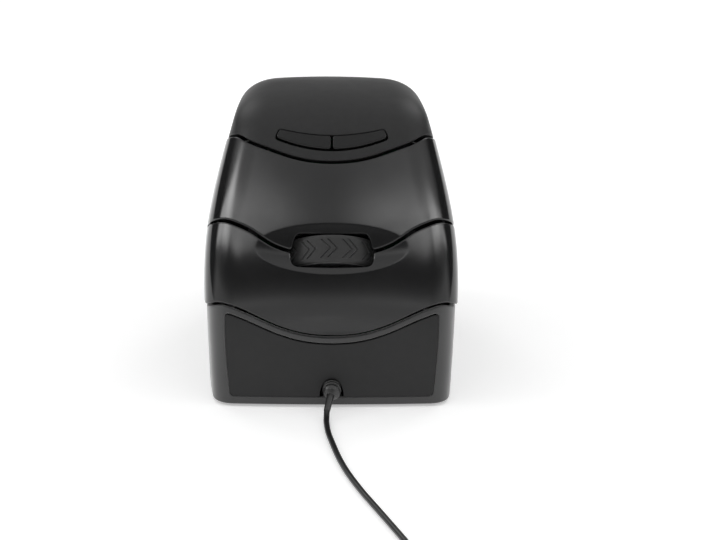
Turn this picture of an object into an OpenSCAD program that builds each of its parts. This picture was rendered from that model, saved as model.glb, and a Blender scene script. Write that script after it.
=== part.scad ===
// Vertical ergonomic mouse with a sideways thumb wheel, two wrap-round keys,
// two small top keys and a cord. Millimetres. The desk is z = 0, the keys
// and the cord face -Y, and the body is centred on the Z axis.

/* [Body] */
// Height of the highest point of the top cover above the desk
body_h = 72.4; // [72:0.1:74]
// Depth of the body at the desk, front to rear
body_d = 92; // [91:0.5:93]
// Half width of the body at the desk
body_w = 32.1; // [31.8:0.1:32.6]
// Wall thickness of the covers
wall = 1.8; // [1.6:0.1:2]
// Height of the glide feet under the base
foot_h = 0.7; // [0.5:0.1:0.9]

/* [Seams] */
// Width of the gap between neighbouring covers
seam_gap = 0.65; // [0.5:0.05:0.7]
// Width of the gap behind the two wrap-round keys
wing_gap = 0.75; // [0.6:0.05:0.9]
// How far the wrap-round keys and the rear housing stand out past the cap
key_out = 0.3; // [0.2:0.05:0.3]
// How far the base shell sits in under the keys
base_in = 0.35; // [0.2:0.05:0.4]
// Depth of the finger dish around the wheel
dish_depth = 0.8; // [0.7:0.1:1.2]

/* [Wheel] */
// Outer radius of the wheel tyre
wheel_r = 12.3; // [12:0.1:12.4]
// Width of the wheel tyre
wheel_w = 7.2; // [6.6:0.1:7.4]
// Radius of the wheel axle
axle_r = 1.5; // [1.2:0.1:1.6]
// Distance of the axle outward of the carrier's middle
wheel_out = 0.6; // [0.4:0.1:0.6]
// Radial running clearance of axle, pins and plungers
fit_gap = 0.06; // [0.04:0.01:0.08]

/* [Cord] */
// Diameter of the cord
cord_d = 1.5; // [1.4:0.1:1.6]
// Radius of the coil at the middle of its turns
coil_r = 9; // [8.5:0.5:9]

/* [Hidden] */
$fn = 48;

// The outer form is where four soft limits meet: a leaning front, two sides,
// a sloping rear and a gently crowned top. Each limit has its own round-over.
f_lean = 0.03; f_m = 0.74; f_z0 = 30; f_k = 9;
w_up = 0.054; w_m = 0.345; w_z0 = 36.8; w_k = 12.8; w_ym = -16; w_bow = 0.0024;
r_lean = 0.02; r_m = 0.95; r_z0 = 50; r_k = 24; r_r = 260;
t_y = 4; t_r = 105; t_rx = 220;
rf = 8.5; rs = 8.2; rr = 12; rt = 5.4; pw = 2.35;
axis_y = 4;

function hyp(t, k) = (t + sqrt(t * t + k * k)) / 2;
function dhyp(t, k) = (1 + t / sqrt(t * t + k * k)) / 2;
function y_front(z) = -body_d / 2 + f_lean * z + f_m * (hyp(z - f_z0, f_k) - hyp(-f_z0, f_k));
function y_rear(z) = body_d / 2 - r_lean * z - r_m * (hyp(z - r_z0, r_k) - hyp(-r_z0, r_k));
function half_w(y, z) = body_w + w_up * z - w_m * (hyp(z - w_z0, w_k) - hyp(-w_z0, w_k))
  - w_bow * pow(y - w_ym, 2);
function lim(f, r) = pow(max(f + r, 0) / r, pw);
function round_at(z) = let (t = min(max((z - 4) / 26, 0), 1)) 0.62 + 0.38 * t * t * (3 - 2 * t);
function bend(z) = let (t = min(max((z - 18) / 28, 0), 1)) 0.0022 + 0.0053 * t * t * (3 - 2 * t);
function form(x, y, z) =
  lim((y_front(z) + x * x * bend(z) / 2 - y) / sqrt(1 + pow(f_lean + f_m * dhyp(z - f_z0, f_k), 2)), rf * round_at(z))
  + lim(abs(x) - half_w(y, z), rs * round_at(z))
  + lim((y - y_rear(z) + x * x / (2 * r_r)) / sqrt(1 + pow(r_lean + r_m * dhyp(z - r_z0, r_k), 2)), rr)
  + lim(z - body_h + pow(y - t_y, 2) / (2 * t_r) + x * x / (2 * t_rx), rt) - 1;
function ray(a, z, lo = 0, hi = 64, n = 20) = n == 0 ? (lo + hi) / 2
  : let (m = (lo + hi) / 2) form(m * sin(a), axis_y - m * cos(a), z) < 0
    ? ray(a, z, m, hi, n - 1) : ray(a, z, lo, m, n - 1);
function unit(v) = v / norm(v);
function out_dir(p) = let (h = 0.01) unit([
  form(p.x + h, p.y, p.z) - form(p.x - h, p.y, p.z),
  form(p.x, p.y + h, p.z) - form(p.x, p.y - h, p.z),
  form(p.x, p.y, p.z + h) - form(p.x, p.y, p.z - h)]);

// Finger dish: an oval hollow centred on the wheel window
dish_z = 39.6; dish_w = 19.3; dish_s = 5.5;
function dish(p) = p.y > 0 ? 0
  : dish_depth * max(0, 1 - pow(p.x / dish_w, 2) - pow((p.z - dish_z) / dish_s, 2));
// Point of the outer form at angle a round the vertical axis and height z,
// with the outward direction
function skin(a, z) = let (r = ray(a, z), p = [r * sin(a), axis_y - r * cos(a), z], n = out_dir(p))
  [p - dish(p) * n, n];

// Seam heights by angle from the front, hand-set and smoothly joined
seam1 = [[0, 58.5], [12, 58.8], [22, 59.6], [30, 60.6], [38, 61.7], [46, 62.7], [52, 63.1],
  [57, 62.4], [64, 61], [80, 57.5], [105, 53], [140, 49.5], [180, 48.5]];
seam2 = [[0, 38.6], [14, 39.2], [20, 40.2], [25, 41.7], [29, 43.1], [33.5, 44.2], [38, 44.7],
  [42, 44.2], [47, 42.6], [56, 39.4], [70, 36.5], [90, 34]];
seam3 = [[0, 19], [6, 19.3], [11, 20.1], [16, 21.5], [20, 23], [25.5, 25.2], [29, 26.2],
  [33, 26.3], [37, 25], [40, 23.7], [46, 22], [60, 19.5], [90, 16.5], [130, 14.5], [180, 14]];
function slope(t, i) = i == 0 || i == len(t) - 1 ? 0
  : (t[i + 1][1] - t[i - 1][1]) / (t[i + 1][0] - t[i - 1][0]);
function seg(t, a, i = 0) = i >= len(t) - 2 || a < t[i + 1][0] ? i : seg(t, a, i + 1);
function smooth(t, a0) = let (a1 = abs(a0), a = a1 > 180 ? 360 - a1 : a1, i = seg(t, a),
    h = t[i + 1][0] - t[i][0], u = (a - t[i][0]) / h, u2 = u * u, u3 = u2 * u)
  (2 * u3 - 3 * u2 + 1) * t[i][1] + (u3 - 2 * u2 + u) * h * slope(t, i)
  + (3 * u2 - 2 * u3) * t[i + 1][1] + (u3 - u2) * h * slope(t, i + 1);
// Wheel window, as the upper and lower edge by angle
win_a = 14.3;
function win_top(a) = 39.2 + 3.9 * sqrt(max(0, 1 - pow(abs(a) / win_a, 22)));
function win_bot(a) = 39.2 - 3.4 * sqrt(max(0, 1 - pow(abs(a) / win_a, 14)));
// Rear edge of the two wrap-round keys, as an angle by height
function wing(z) = 58.5 + 0.15 * z;
wing_half = wing_gap / 2 / 32 * 180 / PI;
// Opening of the two small top keys
key_a = 32.5;
function key_lo(a) = abs(a) <= key_a ? 61 + 2.33 * pow(a / key_a, 2) : smooth(seam1, a) + 2.35;
function key_hi(a) = abs(a) <= key_a ? 64.4 + 1.25 * pow(a / key_a, 2) : smooth(seam1, a) + 4.7;
// Front plate outline
function plate_a(z) = 27.6 + 0.125 * z;
plate_lo = 2.7;
function plate_hi(a) = smooth(seam3, a) - 1.9;
arch_a = 3.55; arch_h = 5.1;

function mix(a, b, u) = a + (b - a) * u;
function mirrored(l) = concat([for (i = [len(l) - 1:-1:1]) -l[i]], l);
// Depth below the outer form, d[i][j] for each grid point
function sunk(g, d) = [for (i = [0:len(g) - 1]) [for (j = [0:len(g[i]) - 1]) g[i][j][0] - d[i][j] * g[i][j][1]]];
function even(g, d) = [for (r = g) [for (q = r) d]];
// Closed solid between an outer and an inner grid of points. Cells with
// solid[i][j] false are left open. wrap joins the last column to the first.
function faces_of(nr, nc, s, wrap, pole) = let (w = wrap ? nc : nc - 1, o = nr * nc,
  ok = function (i, j) i < 0 ? false : i >= nr - 1 ? pole
    : wrap ? s[i][(j + w) % w] : j < 0 || j >= w ? false : s[i][j])
  concat([for (i = [0:nr - 2]) for (j = [0:w - 1]) if (s[i][j])
    let (k = (j + 1) % nc, a = i * nc + j, b = i * nc + k, c = b + nc, d = a + nc)
    each concat([[a, d, c], [a, c, b], [o + a, o + b, o + c], [o + a, o + c, o + d]],
      ok(i - 1, j) ? [] : [[a, b, o + b], [a, o + b, o + a]],
      ok(i + 1, j) ? [] : [[c, d, o + d], [c, o + d, o + c]],
      ok(i, j - 1) ? [] : [[d, a, o + a], [d, o + a, o + d]],
      ok(i, j + 1) ? [] : [[b, c, o + c], [b, o + c, o + b]])],
    pole ? [for (j = [0:w - 1]) let (k = (j + 1) % nc, d = (nr - 1) * nc + j, c = (nr - 1) * nc + k)
      each [[c, d, 2 * o], [o + d, o + c, 2 * o + 1]]] : []);
module solid_of(p, q, s, wrap = false, poles = []) {
  pts = concat([for (r = p) each r], [for (r = q) each r], poles);
  polyhedron(pts, faces_of(len(p), len(p[0]), s, wrap, len(poles) > 0), convexity = 6);
}
function all_on(g) = [for (r = g) [for (q = r) true]];

// Columns of the wrap-round keys: fixed angles in front, then out to the rear edge
front_a = [0, 5, 10, 12.6, 13.4, 13.85, 14.15, 17, 20, 24, 28, 32, 36, 40, 45];
function side_z(u, lo, hi) = let (a0 = 64, z0 = mix(smooth(lo, a0), smooth(hi, a0), u), a = wing(z0))
  mix(smooth(lo, a), smooth(hi, a), u);
function key_cols(u, lo, hi) = let (e = wing(side_z(u, lo, hi)) - wing_half,
    h = concat(front_a, [for (t = [0.25:0.25:1]) mix(45, e, t)])) mirrored(h);
function upper_edge_lo(a) = abs(a) < win_a ? max(win_top(a), smooth(seam2, a) + seam_gap / 2)
  : smooth(seam2, a) + seam_gap / 2;
function lower_edge_hi(a) = abs(a) < win_a ? min(win_bot(a), smooth(seam2, a) - seam_gap / 2)
  : smooth(seam2, a) - seam_gap / 2;
function key_grid(u_list, lo, hi, elo, ehi) = [for (u = u_list) [for (a = key_cols(u, lo, hi))
  skin(a, mix(elo(a), ehi(a), u))]];

// Wheel frame: z along the axle up the slope, y straight in, x to the right
wheel_tilt = 34; wheel_at = [0, -27, 33.1];
module in_wheel() translate(wheel_at) rotate([-wheel_tilt, 0, 0]) children();
// Top key frame, on the slope of the two small keys
cap_tilt = 36; cap_at = [0, -20.6, 62.8]; cap_key_x = 10; cap_key_z = 2;
module in_cap() translate(cap_at) rotate([-cap_tilt, 0, 0]) children();
// Hinge line of the upper key
hinge_y = -18.9; hinge_z = 52.3; hinge_x = 15;
pin_r = 1;
// Box and rod by their limits; rod runs along y
module box(a, b) translate(a) cube(b - a);
module rod(r, y0, y1, x = 0, z = 0) translate([x, y0, z]) rotate([-90, 0, 0]) cylinder(r = r, h = y1 - y0);
module post(r, z0, z1, x = 0, y = 0) translate([x, y, z0]) cylinder(r = r, h = z1 - z0);
module bar_x(r, x0, x1, y, z) translate([x0, y, z]) rotate([0, 90, 0]) cylinder(r = r, h = x1 - x0);

// ---------- covers ----------
base_s = [0, 0.25, 0.5, 0.7, 0.86, 0.95, 1];
function base_col(s, z) = abs(s) <= 1 ? s * plate_a(z) : sign(s) * mix(plate_a(z), 180, abs(s) - 1);
function base_row(k, a) = k == 0 ? foot_h : k == 1 ? plate_lo : k == 2 ? mix(plate_lo, plate_hi(a), 0.35)
  : k == 3 ? mix(plate_lo, plate_hi(a), 0.7) : k == 4 ? plate_hi(a) : smooth(seam3, a) - seam_gap / 2;
function base_at(s, k) = let (a0 = base_col(s, 12), a1 = base_col(s, base_row(k, a0)),
    a2 = base_col(s, base_row(k, a1))) skin(a2, base_row(k, a2));
module base_shell() {
  h = concat(base_s, [1.015, 1.035, 1.06, 1.1, 1.15, 1.21, 1.28, 1.36, 1.45, 1.54, 1.62, 1.67, 1.71, 1.75, 1.79, 1.83, 1.88, 1.94]);
  cols = concat(mirrored(h), [2]);
  g = [for (k = [0:5]) [for (s = cols) base_at(s, k)]];
  ok = [for (k = [0:4]) [for (j = [0:len(cols) - 1]) let (m = j < len(cols) - 1 ? (cols[j] + cols[j + 1]) / 2 : 3)
    !(k >= 1 && k <= 3 && abs(m) < 1)]];
  color([0.09, 0.09, 0.09]) solid_of(sunk(g, even(g, base_in)), sunk(g, even(g, 1.8)), ok, wrap = true);
}

plate_s = [0, 0.035, 0.07, 0.095, 0.112, 0.124, 0.128, 0.25, 0.45, 0.65, 0.85, 0.985, 0.99, 1.05];
function plate_bot(a) = plate_lo + 0.15
  + (abs(a) < arch_a ? arch_h * sqrt(1 - pow(a / arch_a, 2)) : 0);
function plate_row(k, a) = k == 0 ? plate_bot(a) : k == 1 ? mix(plate_bot(a), plate_hi(a), 0.35)
  : k == 2 ? mix(plate_bot(a), plate_hi(a), 0.7) : k == 3 ? plate_hi(a) - 0.2
  : k == 4 ? plate_hi(a) - 0.12 : plate_hi(a) + 1.1;
function plate_at(s, k) = let (a0 = s * plate_a(12), a1 = s * plate_a(plate_row(k, a0)),
    a2 = s * plate_a(plate_row(k, a1))) skin(a2, plate_row(k, a2));
module front_plate() {
  cols = mirrored(plate_s);
  g = [for (k = [0:5]) [for (s = cols) plate_at(s, k)]];
  d0 = [for (k = [0:5]) [for (s = cols) k < 4 && abs(s) < 0.987 ? base_in + 0.4 : 1.95]];
  d1 = [for (k = [0:5]) [for (s = cols) k < 4 && abs(s) < 0.987 ? 2.4 : 3.1]];
  color([0.11, 0.11, 0.11]) solid_of(sunk(g, d0), sunk(g, d1), all_on(g));
}

module lower_button() {
  g = key_grid([0, 0.18, 0.38, 0.58, 0.76, 0.9, 1], seam3, seam2,
    function (a) smooth(seam3, a) + seam_gap / 2, function (a) lower_edge_hi(a));
  color([0.07, 0.07, 0.07]) union() {
    solid_of(sunk(g, even(g, -key_out)), sunk(g, even(g, wall - key_out)), all_on(g));
    in_wheel() {
      box([0.8, -9.5, -16], [4.2, -4.3, -14]);
      for (s = [-1, 1]) rod(1.5, -8.9, 3, s * 24, -7);
    }
  }
}

module upper_button() {
  g = key_grid([0, 0.1, 0.24, 0.42, 0.6, 0.8, 0.93, 1], seam2, seam1,
    function (a) upper_edge_lo(a), function (a) smooth(seam1, a) - seam_gap / 2);
  color([0.07, 0.07, 0.07]) union() {
    solid_of(sunk(g, even(g, -key_out)), sunk(g, even(g, wall - key_out)), all_on(g));
    in_wheel() box([0.8, -10.6, 10.6], [4.2, -4.3, 12.6]);
  }
}
module hinge_brackets() color([0.12, 0.12, 0.12]) difference() {
  for (s = [-1, 1]) union() {
    bar_x(2.3, s * hinge_x - 1.5, s * hinge_x + 1.5, hinge_y, hinge_z);
    in_wheel() box([s * hinge_x - 1.3, -9.2, 18.7], [s * hinge_x + 1.3, -4.8, 22.3]);
  }
  bar_x(pin_r + fit_gap, -20, 20, hinge_y, hinge_z);
}

module rear_housing() {
  us = [0, 0.15, 0.32, 0.5, 0.68, 0.85, 1];
  ts = [0, 0.03, 0.09, 0.18, 0.28, 0.38, 0.48, 0.57, 0.65, 0.72, 0.79, 0.86, 0.93, 1];
  g = [for (u = us) let (e = wing(side_z(u, seam3, seam1)) + wing_half)
    [for (t = concat(ts, [for (i = [len(ts) - 2:-1:0]) 2 - ts[i]])) let (a = t <= 1 ? mix(e, 180, t) : mix(180, 360 - e, t - 1))
      skin(a, mix(smooth(seam3, a) + seam_gap / 2, smooth(seam1, a) - seam_gap / 2, u))]];
  color([0.09, 0.09, 0.09]) solid_of(sunk(g, even(g, -key_out)), sunk(g, even(g, wall - key_out)), all_on(g));
}

module cap() {
  h = [0, 4, 8, 13, 18, 23, 28, 31, key_a, 36, 40, 44, 48, 52, 56, 60, 65, 71, 78, 86, 95, 105, 116, 128, 141, 155, 168];
  cols = concat(mirrored(h), [180]);
  rows = [0, 0.25, 0.5, 0.7, 0.86];
  g = concat([[for (a = cols) skin(a, smooth(seam1, a) + seam_gap / 2)], [for (a = cols) skin(a, key_lo(a))],
    [for (a = cols) skin(a, mix(key_lo(a), key_hi(a), 0.5))]],
    [for (u = rows) [for (a = cols) skin(a, body_h - (body_h - key_hi(a)) * pow(1 - u, 2))]]);
  ok = [for (i = [0:len(g) - 2]) [for (j = [0:len(cols) - 1]) let (m = j < len(cols) - 1 ? (cols[j] + cols[j + 1]) / 2 : 200)
    !((i == 1 || i == 2) && abs(m) < key_a)]];
  color([0.13, 0.13, 0.13]) solid_of(sunk(g, even(g, 0)), sunk(g, even(g, wall)), ok, wrap = true,
    poles = [[0, axis_y, body_h], [0, axis_y, body_h - wall]]);
}

module cap_button(s) {
  h = [0.45, 4, 8, 13, 18, 23, 28, 31, key_a - 0.5];
  cols = s > 0 ? h : [for (i = [len(h) - 1:-1:0]) -h[i]];
  g = [for (u = [0, 0.33, 0.67, 1]) [for (a = cols) skin(a, mix(key_lo(a) + 0.2, key_hi(a) - 0.2, u))]];
  color([0.08, 0.08, 0.08]) union() {
    solid_of(sunk(g, even(g, -0.25)), sunk(g, even(g, 1.6)), all_on(g));
    in_cap() rod(1.2, 1.9, 5.7, s * cap_key_x, cap_key_z);
  }
}
module cap_button_left() cap_button(-1);
module cap_button_right() cap_button(1);

// ---------- base ----------
screw_at = [[-23, -27], [23, -27], [-21.6, 26], [21.6, 26]];
lens_at = [0, -2];
module base_plate() color([0.1, 0.1, 0.1]) difference() {
  translate([0, 0, foot_h]) linear_extrude(1.7) polygon([for (a = [0:6:354]) let (q = skin(a, 1.5),
    p = q[0] - 2.3 * unit([q[1].x, q[1].y, 0])) [p.x, p.y]]);
  for (p = screw_at) {
    post(1.5, 0, 4, p.x, p.y);
    post(2.6, 0, foot_h + 1, p.x, p.y);
  }
  post(3.6, 0, 4, lens_at.x, lens_at.y);
}
module glide_feet() color([0.75, 0.75, 0.73]) for (x = [-1, 1]) for (y = [-1, 1])
  translate([x * (y > 0 ? 14 : 18), y > 0 ? 35 : -37, 0]) linear_extrude(foot_h) union() {
    square([10, 5], center = true);
    for (s = [-1, 1]) translate([s * 5, 0]) circle(r = 2.5);
  }
module base_screws() color([0.6, 0.6, 0.62]) for (p = screw_at) difference() {
  union() {
    post(2.3, foot_h + 0.05, foot_h + 0.95, p.x, p.y);
    post(1.2, foot_h + 0.5, 9, p.x, p.y);
  }
  translate([p.x, p.y, foot_h]) {
    box([-1.5, -0.25, -1], [1.5, 0.25, 0.5]);
    box([-0.25, -1.5, -1], [0.25, 1.5, 0.5]);
  }
}

// ---------- frame ----------
frame_x = 19.5; frame_t = 2;
module upright(s) mirror([s < 0 ? 1 : 0, 0, 0]) difference() {
  union() {
    translate([frame_x, 0, 0]) rotate([90, 0, 90]) linear_extrude(frame_t) polygon([[-36, 2.45], [36, 2.45],
      [36, 8], [22, 12], [17, 40], [3, 56], [-8, 58.5], [-17, 58], [-20.5, 55.5], [-21.3, 51.5], [-25, 46],
      [-33.5, 32], [-36, 22]]);
    post(3.1, 2.45, 10, 23, -27);
    post(2.85, 2.45, 10, 21.6, 26);
    in_wheel() box([frame_x + 1, -2, -10], [27, 4, -4]);
  }
  post(1.25, 2, 9.5, 23, -27);
  post(1.25, 2, 9.5, 21.6, 26);
  bar_x(pin_r + 0.02, frame_x - 1, frame_x + frame_t + 1, hinge_y, hinge_z);
  bar_x(6, frame_x - 1, frame_x + frame_t + 1, 4, 40);
  bar_x(5, frame_x - 1, frame_x + frame_t + 1, 10, 22);
  bar_x(3.5, frame_x - 1, frame_x + frame_t + 1, -24, 14);
  in_wheel() rod(1.5 + fit_gap, -3, 5, 24, -7);
}
module chassis() color([0.3, 0.3, 0.32]) difference() {
  union() {
    upright(1);
    upright(-1);
    for (y = [-24.5, 24.5]) {
      box([-frame_x - 0.5, y - 1.5, 2.45], [frame_x + 0.5, y + 1.5, 4.6]);
      for (x = [-14, 14]) post(2, 4, 7.35, x, y);
    }
    in_wheel() box([-frame_x - 0.5, 21.4, -8], [frame_x + 0.5, 23.9, 8]);
    in_cap() box([-frame_x - 0.5, 12.3, -2], [frame_x + 0.5, 14.1, 6]);
  }
  in_wheel() for (s = [-1, 1]) rod(pin_r + 0.02, 20, 25, s * 15.5, 0);
}
module button_hinge_pins() color([0.7, 0.7, 0.72]) for (s = [-1, 1])
  bar_x(pin_r, s > 0 ? hinge_x - 2 : -frame_x - frame_t, s > 0 ? frame_x + frame_t : -hinge_x + 2, hinge_y, hinge_z);

// ---------- wheel ----------
hub_r = 10.4;
module on_axle() in_wheel() translate([0, -wheel_out, 0]) children();
module wheel_hub() color([0.12, 0.12, 0.12]) on_axle() difference() {
  union() {
    post(hub_r, -3.3, 3.3);
    post(3, -4.4, 4.4);
  }
  post(axle_r + 0.01, -6, 6);
  for (i = [0:5]) rotate(i * 60) post(2, -6, 6, 6.4, 0);
}
module wheel_tyre() color([0.16, 0.16, 0.16]) on_axle() rotate_extrude($fn = 96) polygon([
  [hub_r + 0.02, -wheel_w / 2 + 0.5], [hub_r + 0.5, -wheel_w / 2], [wheel_r - 0.8, -wheel_w / 2], [wheel_r - 0.2, -wheel_w / 2 + 0.3],
  [wheel_r, -wheel_w / 2 + 1], [wheel_r, wheel_w / 2 - 1], [wheel_r - 0.2, wheel_w / 2 - 0.3],
  [wheel_r - 0.8, wheel_w / 2], [hub_r + 0.5, wheel_w / 2], [hub_r + 0.02, wheel_w / 2 - 0.5]]);
module wheel_axle() color([0.7, 0.7, 0.72]) on_axle() post(axle_r, -10, 7.6);
module wheel_carrier() color([0.35, 0.35, 0.38]) in_wheel() difference() {
  union() {
    box([-18, 14.6, -7], [18, 16.8, 7]);
    for (s = [-1, 1]) {
      box([-4, -wheel_out, s > 0 ? 4.9 : -7], [4, 15, s > 0 ? 7 : -4.9]);
      post(4, s > 0 ? 4.9 : -7, s > 0 ? 7 : -4.9, 0, -wheel_out);
    }
  }
  post(axle_r + fit_gap, -8, 8, 0, -wheel_out);
  for (s = [-1, 1]) rod(pin_r + fit_gap, 14, 18, s * 15.5, 0);
}
module carrier_guide_pins() color([0.7, 0.7, 0.72]) in_wheel() for (s = [-1, 1]) rod(pin_r, 12.9, 23.9, s * 15.5, 0);
module wheel_encoder() color([0.15, 0.3, 0.2]) in_wheel() difference() {
  box([-5, -4.2 - wheel_out, -11.4], [5, 3.2 - wheel_out, -7.05]);
  post(axle_r + fit_gap, -10.6, -7, 0, -wheel_out);
}

// ---------- switches ----------
module key_switch(z) in_wheel() difference() {
  box([-6.4, -3, z - 2.9], [6.4, 3.5, z + 2.9]);
  rod(1 + fit_gap, -4, -1.3, 2.5, z);
}
module key_plunger(z) color([0.85, 0.85, 0.8]) in_wheel() rod(1, -4.2, -1.8, 2.5, z);
module upper_switch() color([0.1, 0.1, 0.1]) key_switch(11.6);
module upper_plunger() key_plunger(11.6);
module lower_switch() color([0.1, 0.1, 0.1]) key_switch(-15);
module lower_plunger() key_plunger(-15);
module wheel_switch() color([0.1, 0.1, 0.1]) in_wheel() difference() {
  box([-3, 17.9, -3], [3, 21.35, 3]);
  rod(1.6 + fit_gap, 17, 19.6);
}
module wheel_plunger() color([0.85, 0.85, 0.8]) in_wheel() rod(1.6, 16.9, 19.1);
module cap_switch(s) color([0.1, 0.1, 0.1]) in_cap() difference() {
  box([s * cap_key_x - 3, 7, cap_key_z - 3], [s * cap_key_x + 3, 10.5, cap_key_z + 3]);
  rod(1.6 + fit_gap, 6, 8.8, s * cap_key_x, cap_key_z);
}
module cap_plunger(s) color([0.85, 0.85, 0.8]) in_cap() rod(1.6, 5.8, 8.2, s * cap_key_x, cap_key_z);
module cap_switch_left() cap_switch(-1);
module cap_switch_right() cap_switch(1);
module cap_plunger_left() cap_plunger(-1);
module cap_plunger_right() cap_plunger(1);

// ---------- boards ----------
module front_board() color([0.05, 0.3, 0.12]) in_wheel() difference() {
  box([-19.2, 3.6, -18.4], [19.2, 5.2, 16]);
  box([-13.8, 3, -11.8], [13.8, 6, 8.4]);
}
module main_board() color([0.05, 0.3, 0.12]) difference() {
  box([-18.5, -27.5, 7.4], [18.5, 27.5, 9]);
  post(4.4, 7, 10, lens_at.x, lens_at.y);
}
module cap_board() color([0.05, 0.3, 0.12]) in_cap() box([-17, 10.6, -3], [17, 12.2, 6]);
module sensor_chip() color([0.08, 0.08, 0.08]) box([-5, lens_at.y - 6, 9.05], [5, lens_at.y + 6, 12.2]);
module sensor_lens() color([0.8, 0.85, 0.9]) union() {
  post(3.4, foot_h + 0.4, 3, lens_at.x, lens_at.y);
  post(5.2, 2.5, 4, lens_at.x, lens_at.y);
  post(4.1, 3.8, 8.6, lens_at.x, lens_at.y);
}
module sensor_lamp() color([0.9, 0.3, 0.25]) union() {
  post(1.5, 9.1, 12, 0, 10);
  translate([0, 10, 12]) sphere(r = 1.5);
}
// Thin strip that follows points in the YZ plane
module ribbon(path, x0, x1, t) translate([x0, 0, 0]) rotate([90, 0, 90]) linear_extrude(x1 - x0)
  polygon(concat(
    [for (i = [0:len(path) - 1]) path[i] + side_dir(path, i) * t / 2],
    [for (i = [len(path) - 1:-1:0]) path[i] - side_dir(path, i) * t / 2]));
function side_dir(p, i) = let (d = unit(p[min(i + 1, len(p) - 1)] - p[max(i - 1, 0)])) [-d.y, d.x];
module front_ribbon() color([0.8, 0.75, 0.6]) ribbon([[-29.5, 19.2], [-28.6, 16.5], [-27, 13], [-25.4, 10.6], [-22.5, 9.3]], 5, 12, 0.4);
module cap_ribbon() color([0.8, 0.75, 0.6]) ribbon([[-13.6, 42.6], [-11.4, 45], [-10.8, 48], [-11.5, 51], [-12.6, 53.1]], 4, 12, 0.4);
module cord_socket() color([0.85, 0.85, 0.8]) box([-14.5, -25.5, 9.05], [-5.5, -20.5, 14.5]);

// ---------- cord ----------
// Closed tube along a path, with a radius for each ring
function tangent(p, i) = unit(p[min(i + 1, len(p) - 1)] - p[max(i - 1, 0)]);
function ring_at(p, i, r, n) = let (t = tangent(p, i), x = unit(cross(t, abs(t.z) > 0.9 ? [0, 1, 0] : [0, 0, 1])),
  y = cross(x, t)) [for (k = [0:n - 1]) p[i] + r * (x * cos(360 * k / n) + y * sin(360 * k / n))];
module tube(path, radii, n = 8) {
  m = len(path);
  polyhedron([for (i = [0:m - 1]) each ring_at(path, i, radii[i], n)],
    concat([[for (k = [0:n - 1]) n - 1 - k]], [[for (k = [0:n - 1]) (m - 1) * n + k]],
      [for (i = [0:m - 2]) for (k = [0:n - 1]) let (a = i * n + k, b = i * n + (k + 1) % n)
        each [[a, b, b + n], [a, b + n, a + n]]]), convexity = 8);
}
// Smooth points along hand-placed ones
function curve_pt(p, i, u) = let (a = p[max(i - 1, 0)], b = p[i], c = p[i + 1], d = p[min(i + 2, len(p) - 1)])
  0.5 * (2 * b + (c - a) * u + (2 * a - 5 * b + 4 * c - d) * u * u + (3 * b - a - 3 * c + d) * u * u * u);
function curve(p, n) = concat([for (i = [0:len(p) - 2]) for (k = [0:n - 1]) curve_pt(p, i, k / n)], [p[len(p) - 1]]);
cz = cord_d / 2;
lead_route = [[0, -41.6, 5.1], [-1.5, -37.5, 5.4], [-5, -33, 7.5], [-8.8, -29.6, 10.3], [-10, -25.8, 11.8]];
relief_route = [[0, -41.6, 5.1], [0, -44, 5.1], [0, -47, 5.1], [-0.4, -49.5, 4.5], [-0.9, -51.5, 3.3], [-1.3, -53, 2.2]];
coil_z = 0.4;
cord_route = [[-1.3, -53, 2.2], [-1.4, -55, 1.2], [-1.4, -58, cz], [-1, -64, cz], [0, -71, cz], [1.3, -79, cz],
  [3.3, -88, cz], [6.2, -98, cz], [9.6, -108, cz], [13, -118, cz], [16, -127, cz], [18.6, -136, cz], [20.3, -144, cz + 0.1],
  [21, -150, cz + 0.3], [21, -153.5, cz + coil_z]];
coil_at = [9, -158];
tail_route = [[4, -170, 8.6], [0, -170.2, 8], [-4, -170.4, 6.4], [-8, -170.5, 4.8], [-12.6, -170.5, 4]];
module inner_lead() color([0.06, 0.06, 0.06]) let (c = curve(lead_route, 4)) tube(c, [for (p = c) cz]);
module strain_relief() color([0.08, 0.08, 0.08]) let (c = curve(relief_route, 5), m = len(c) - 1)
  tube(c, [for (i = [0:m]) mix(2, cz + 0.3, i / m) + (i > 5 && i < m && i % 4 < 2 ? 0.28 : 0)], 12);
module cord_tube() color([0.06, 0.06, 0.06]) let (c = curve(cord_route, 3)) tube(c, [for (p = c) cz]);
module cord_tail() color([0.06, 0.06, 0.06]) let (c = curve(tail_route, 2)) tube(c, [for (p = c) cz]);
coil_w = 2.5 * cord_d; coil_h = 6 * cord_d;
module cord_coil() color([0.06, 0.06, 0.06]) translate([coil_at.x, coil_at.y, coil_z]) rotate_extrude() polygon([
  [coil_r - coil_w + 0.6, 0], [coil_r + coil_w - 0.6, 0], [coil_r + coil_w, 0.6], [coil_r + coil_w, coil_h - 0.6],
  [coil_r + coil_w - 0.6, coil_h], [coil_r - coil_w + 0.6, coil_h], [coil_r - coil_w, coil_h - 0.6], [coil_r - coil_w, 0.6]]);
plug_at = [-12.6, -170.5, 4];
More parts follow.
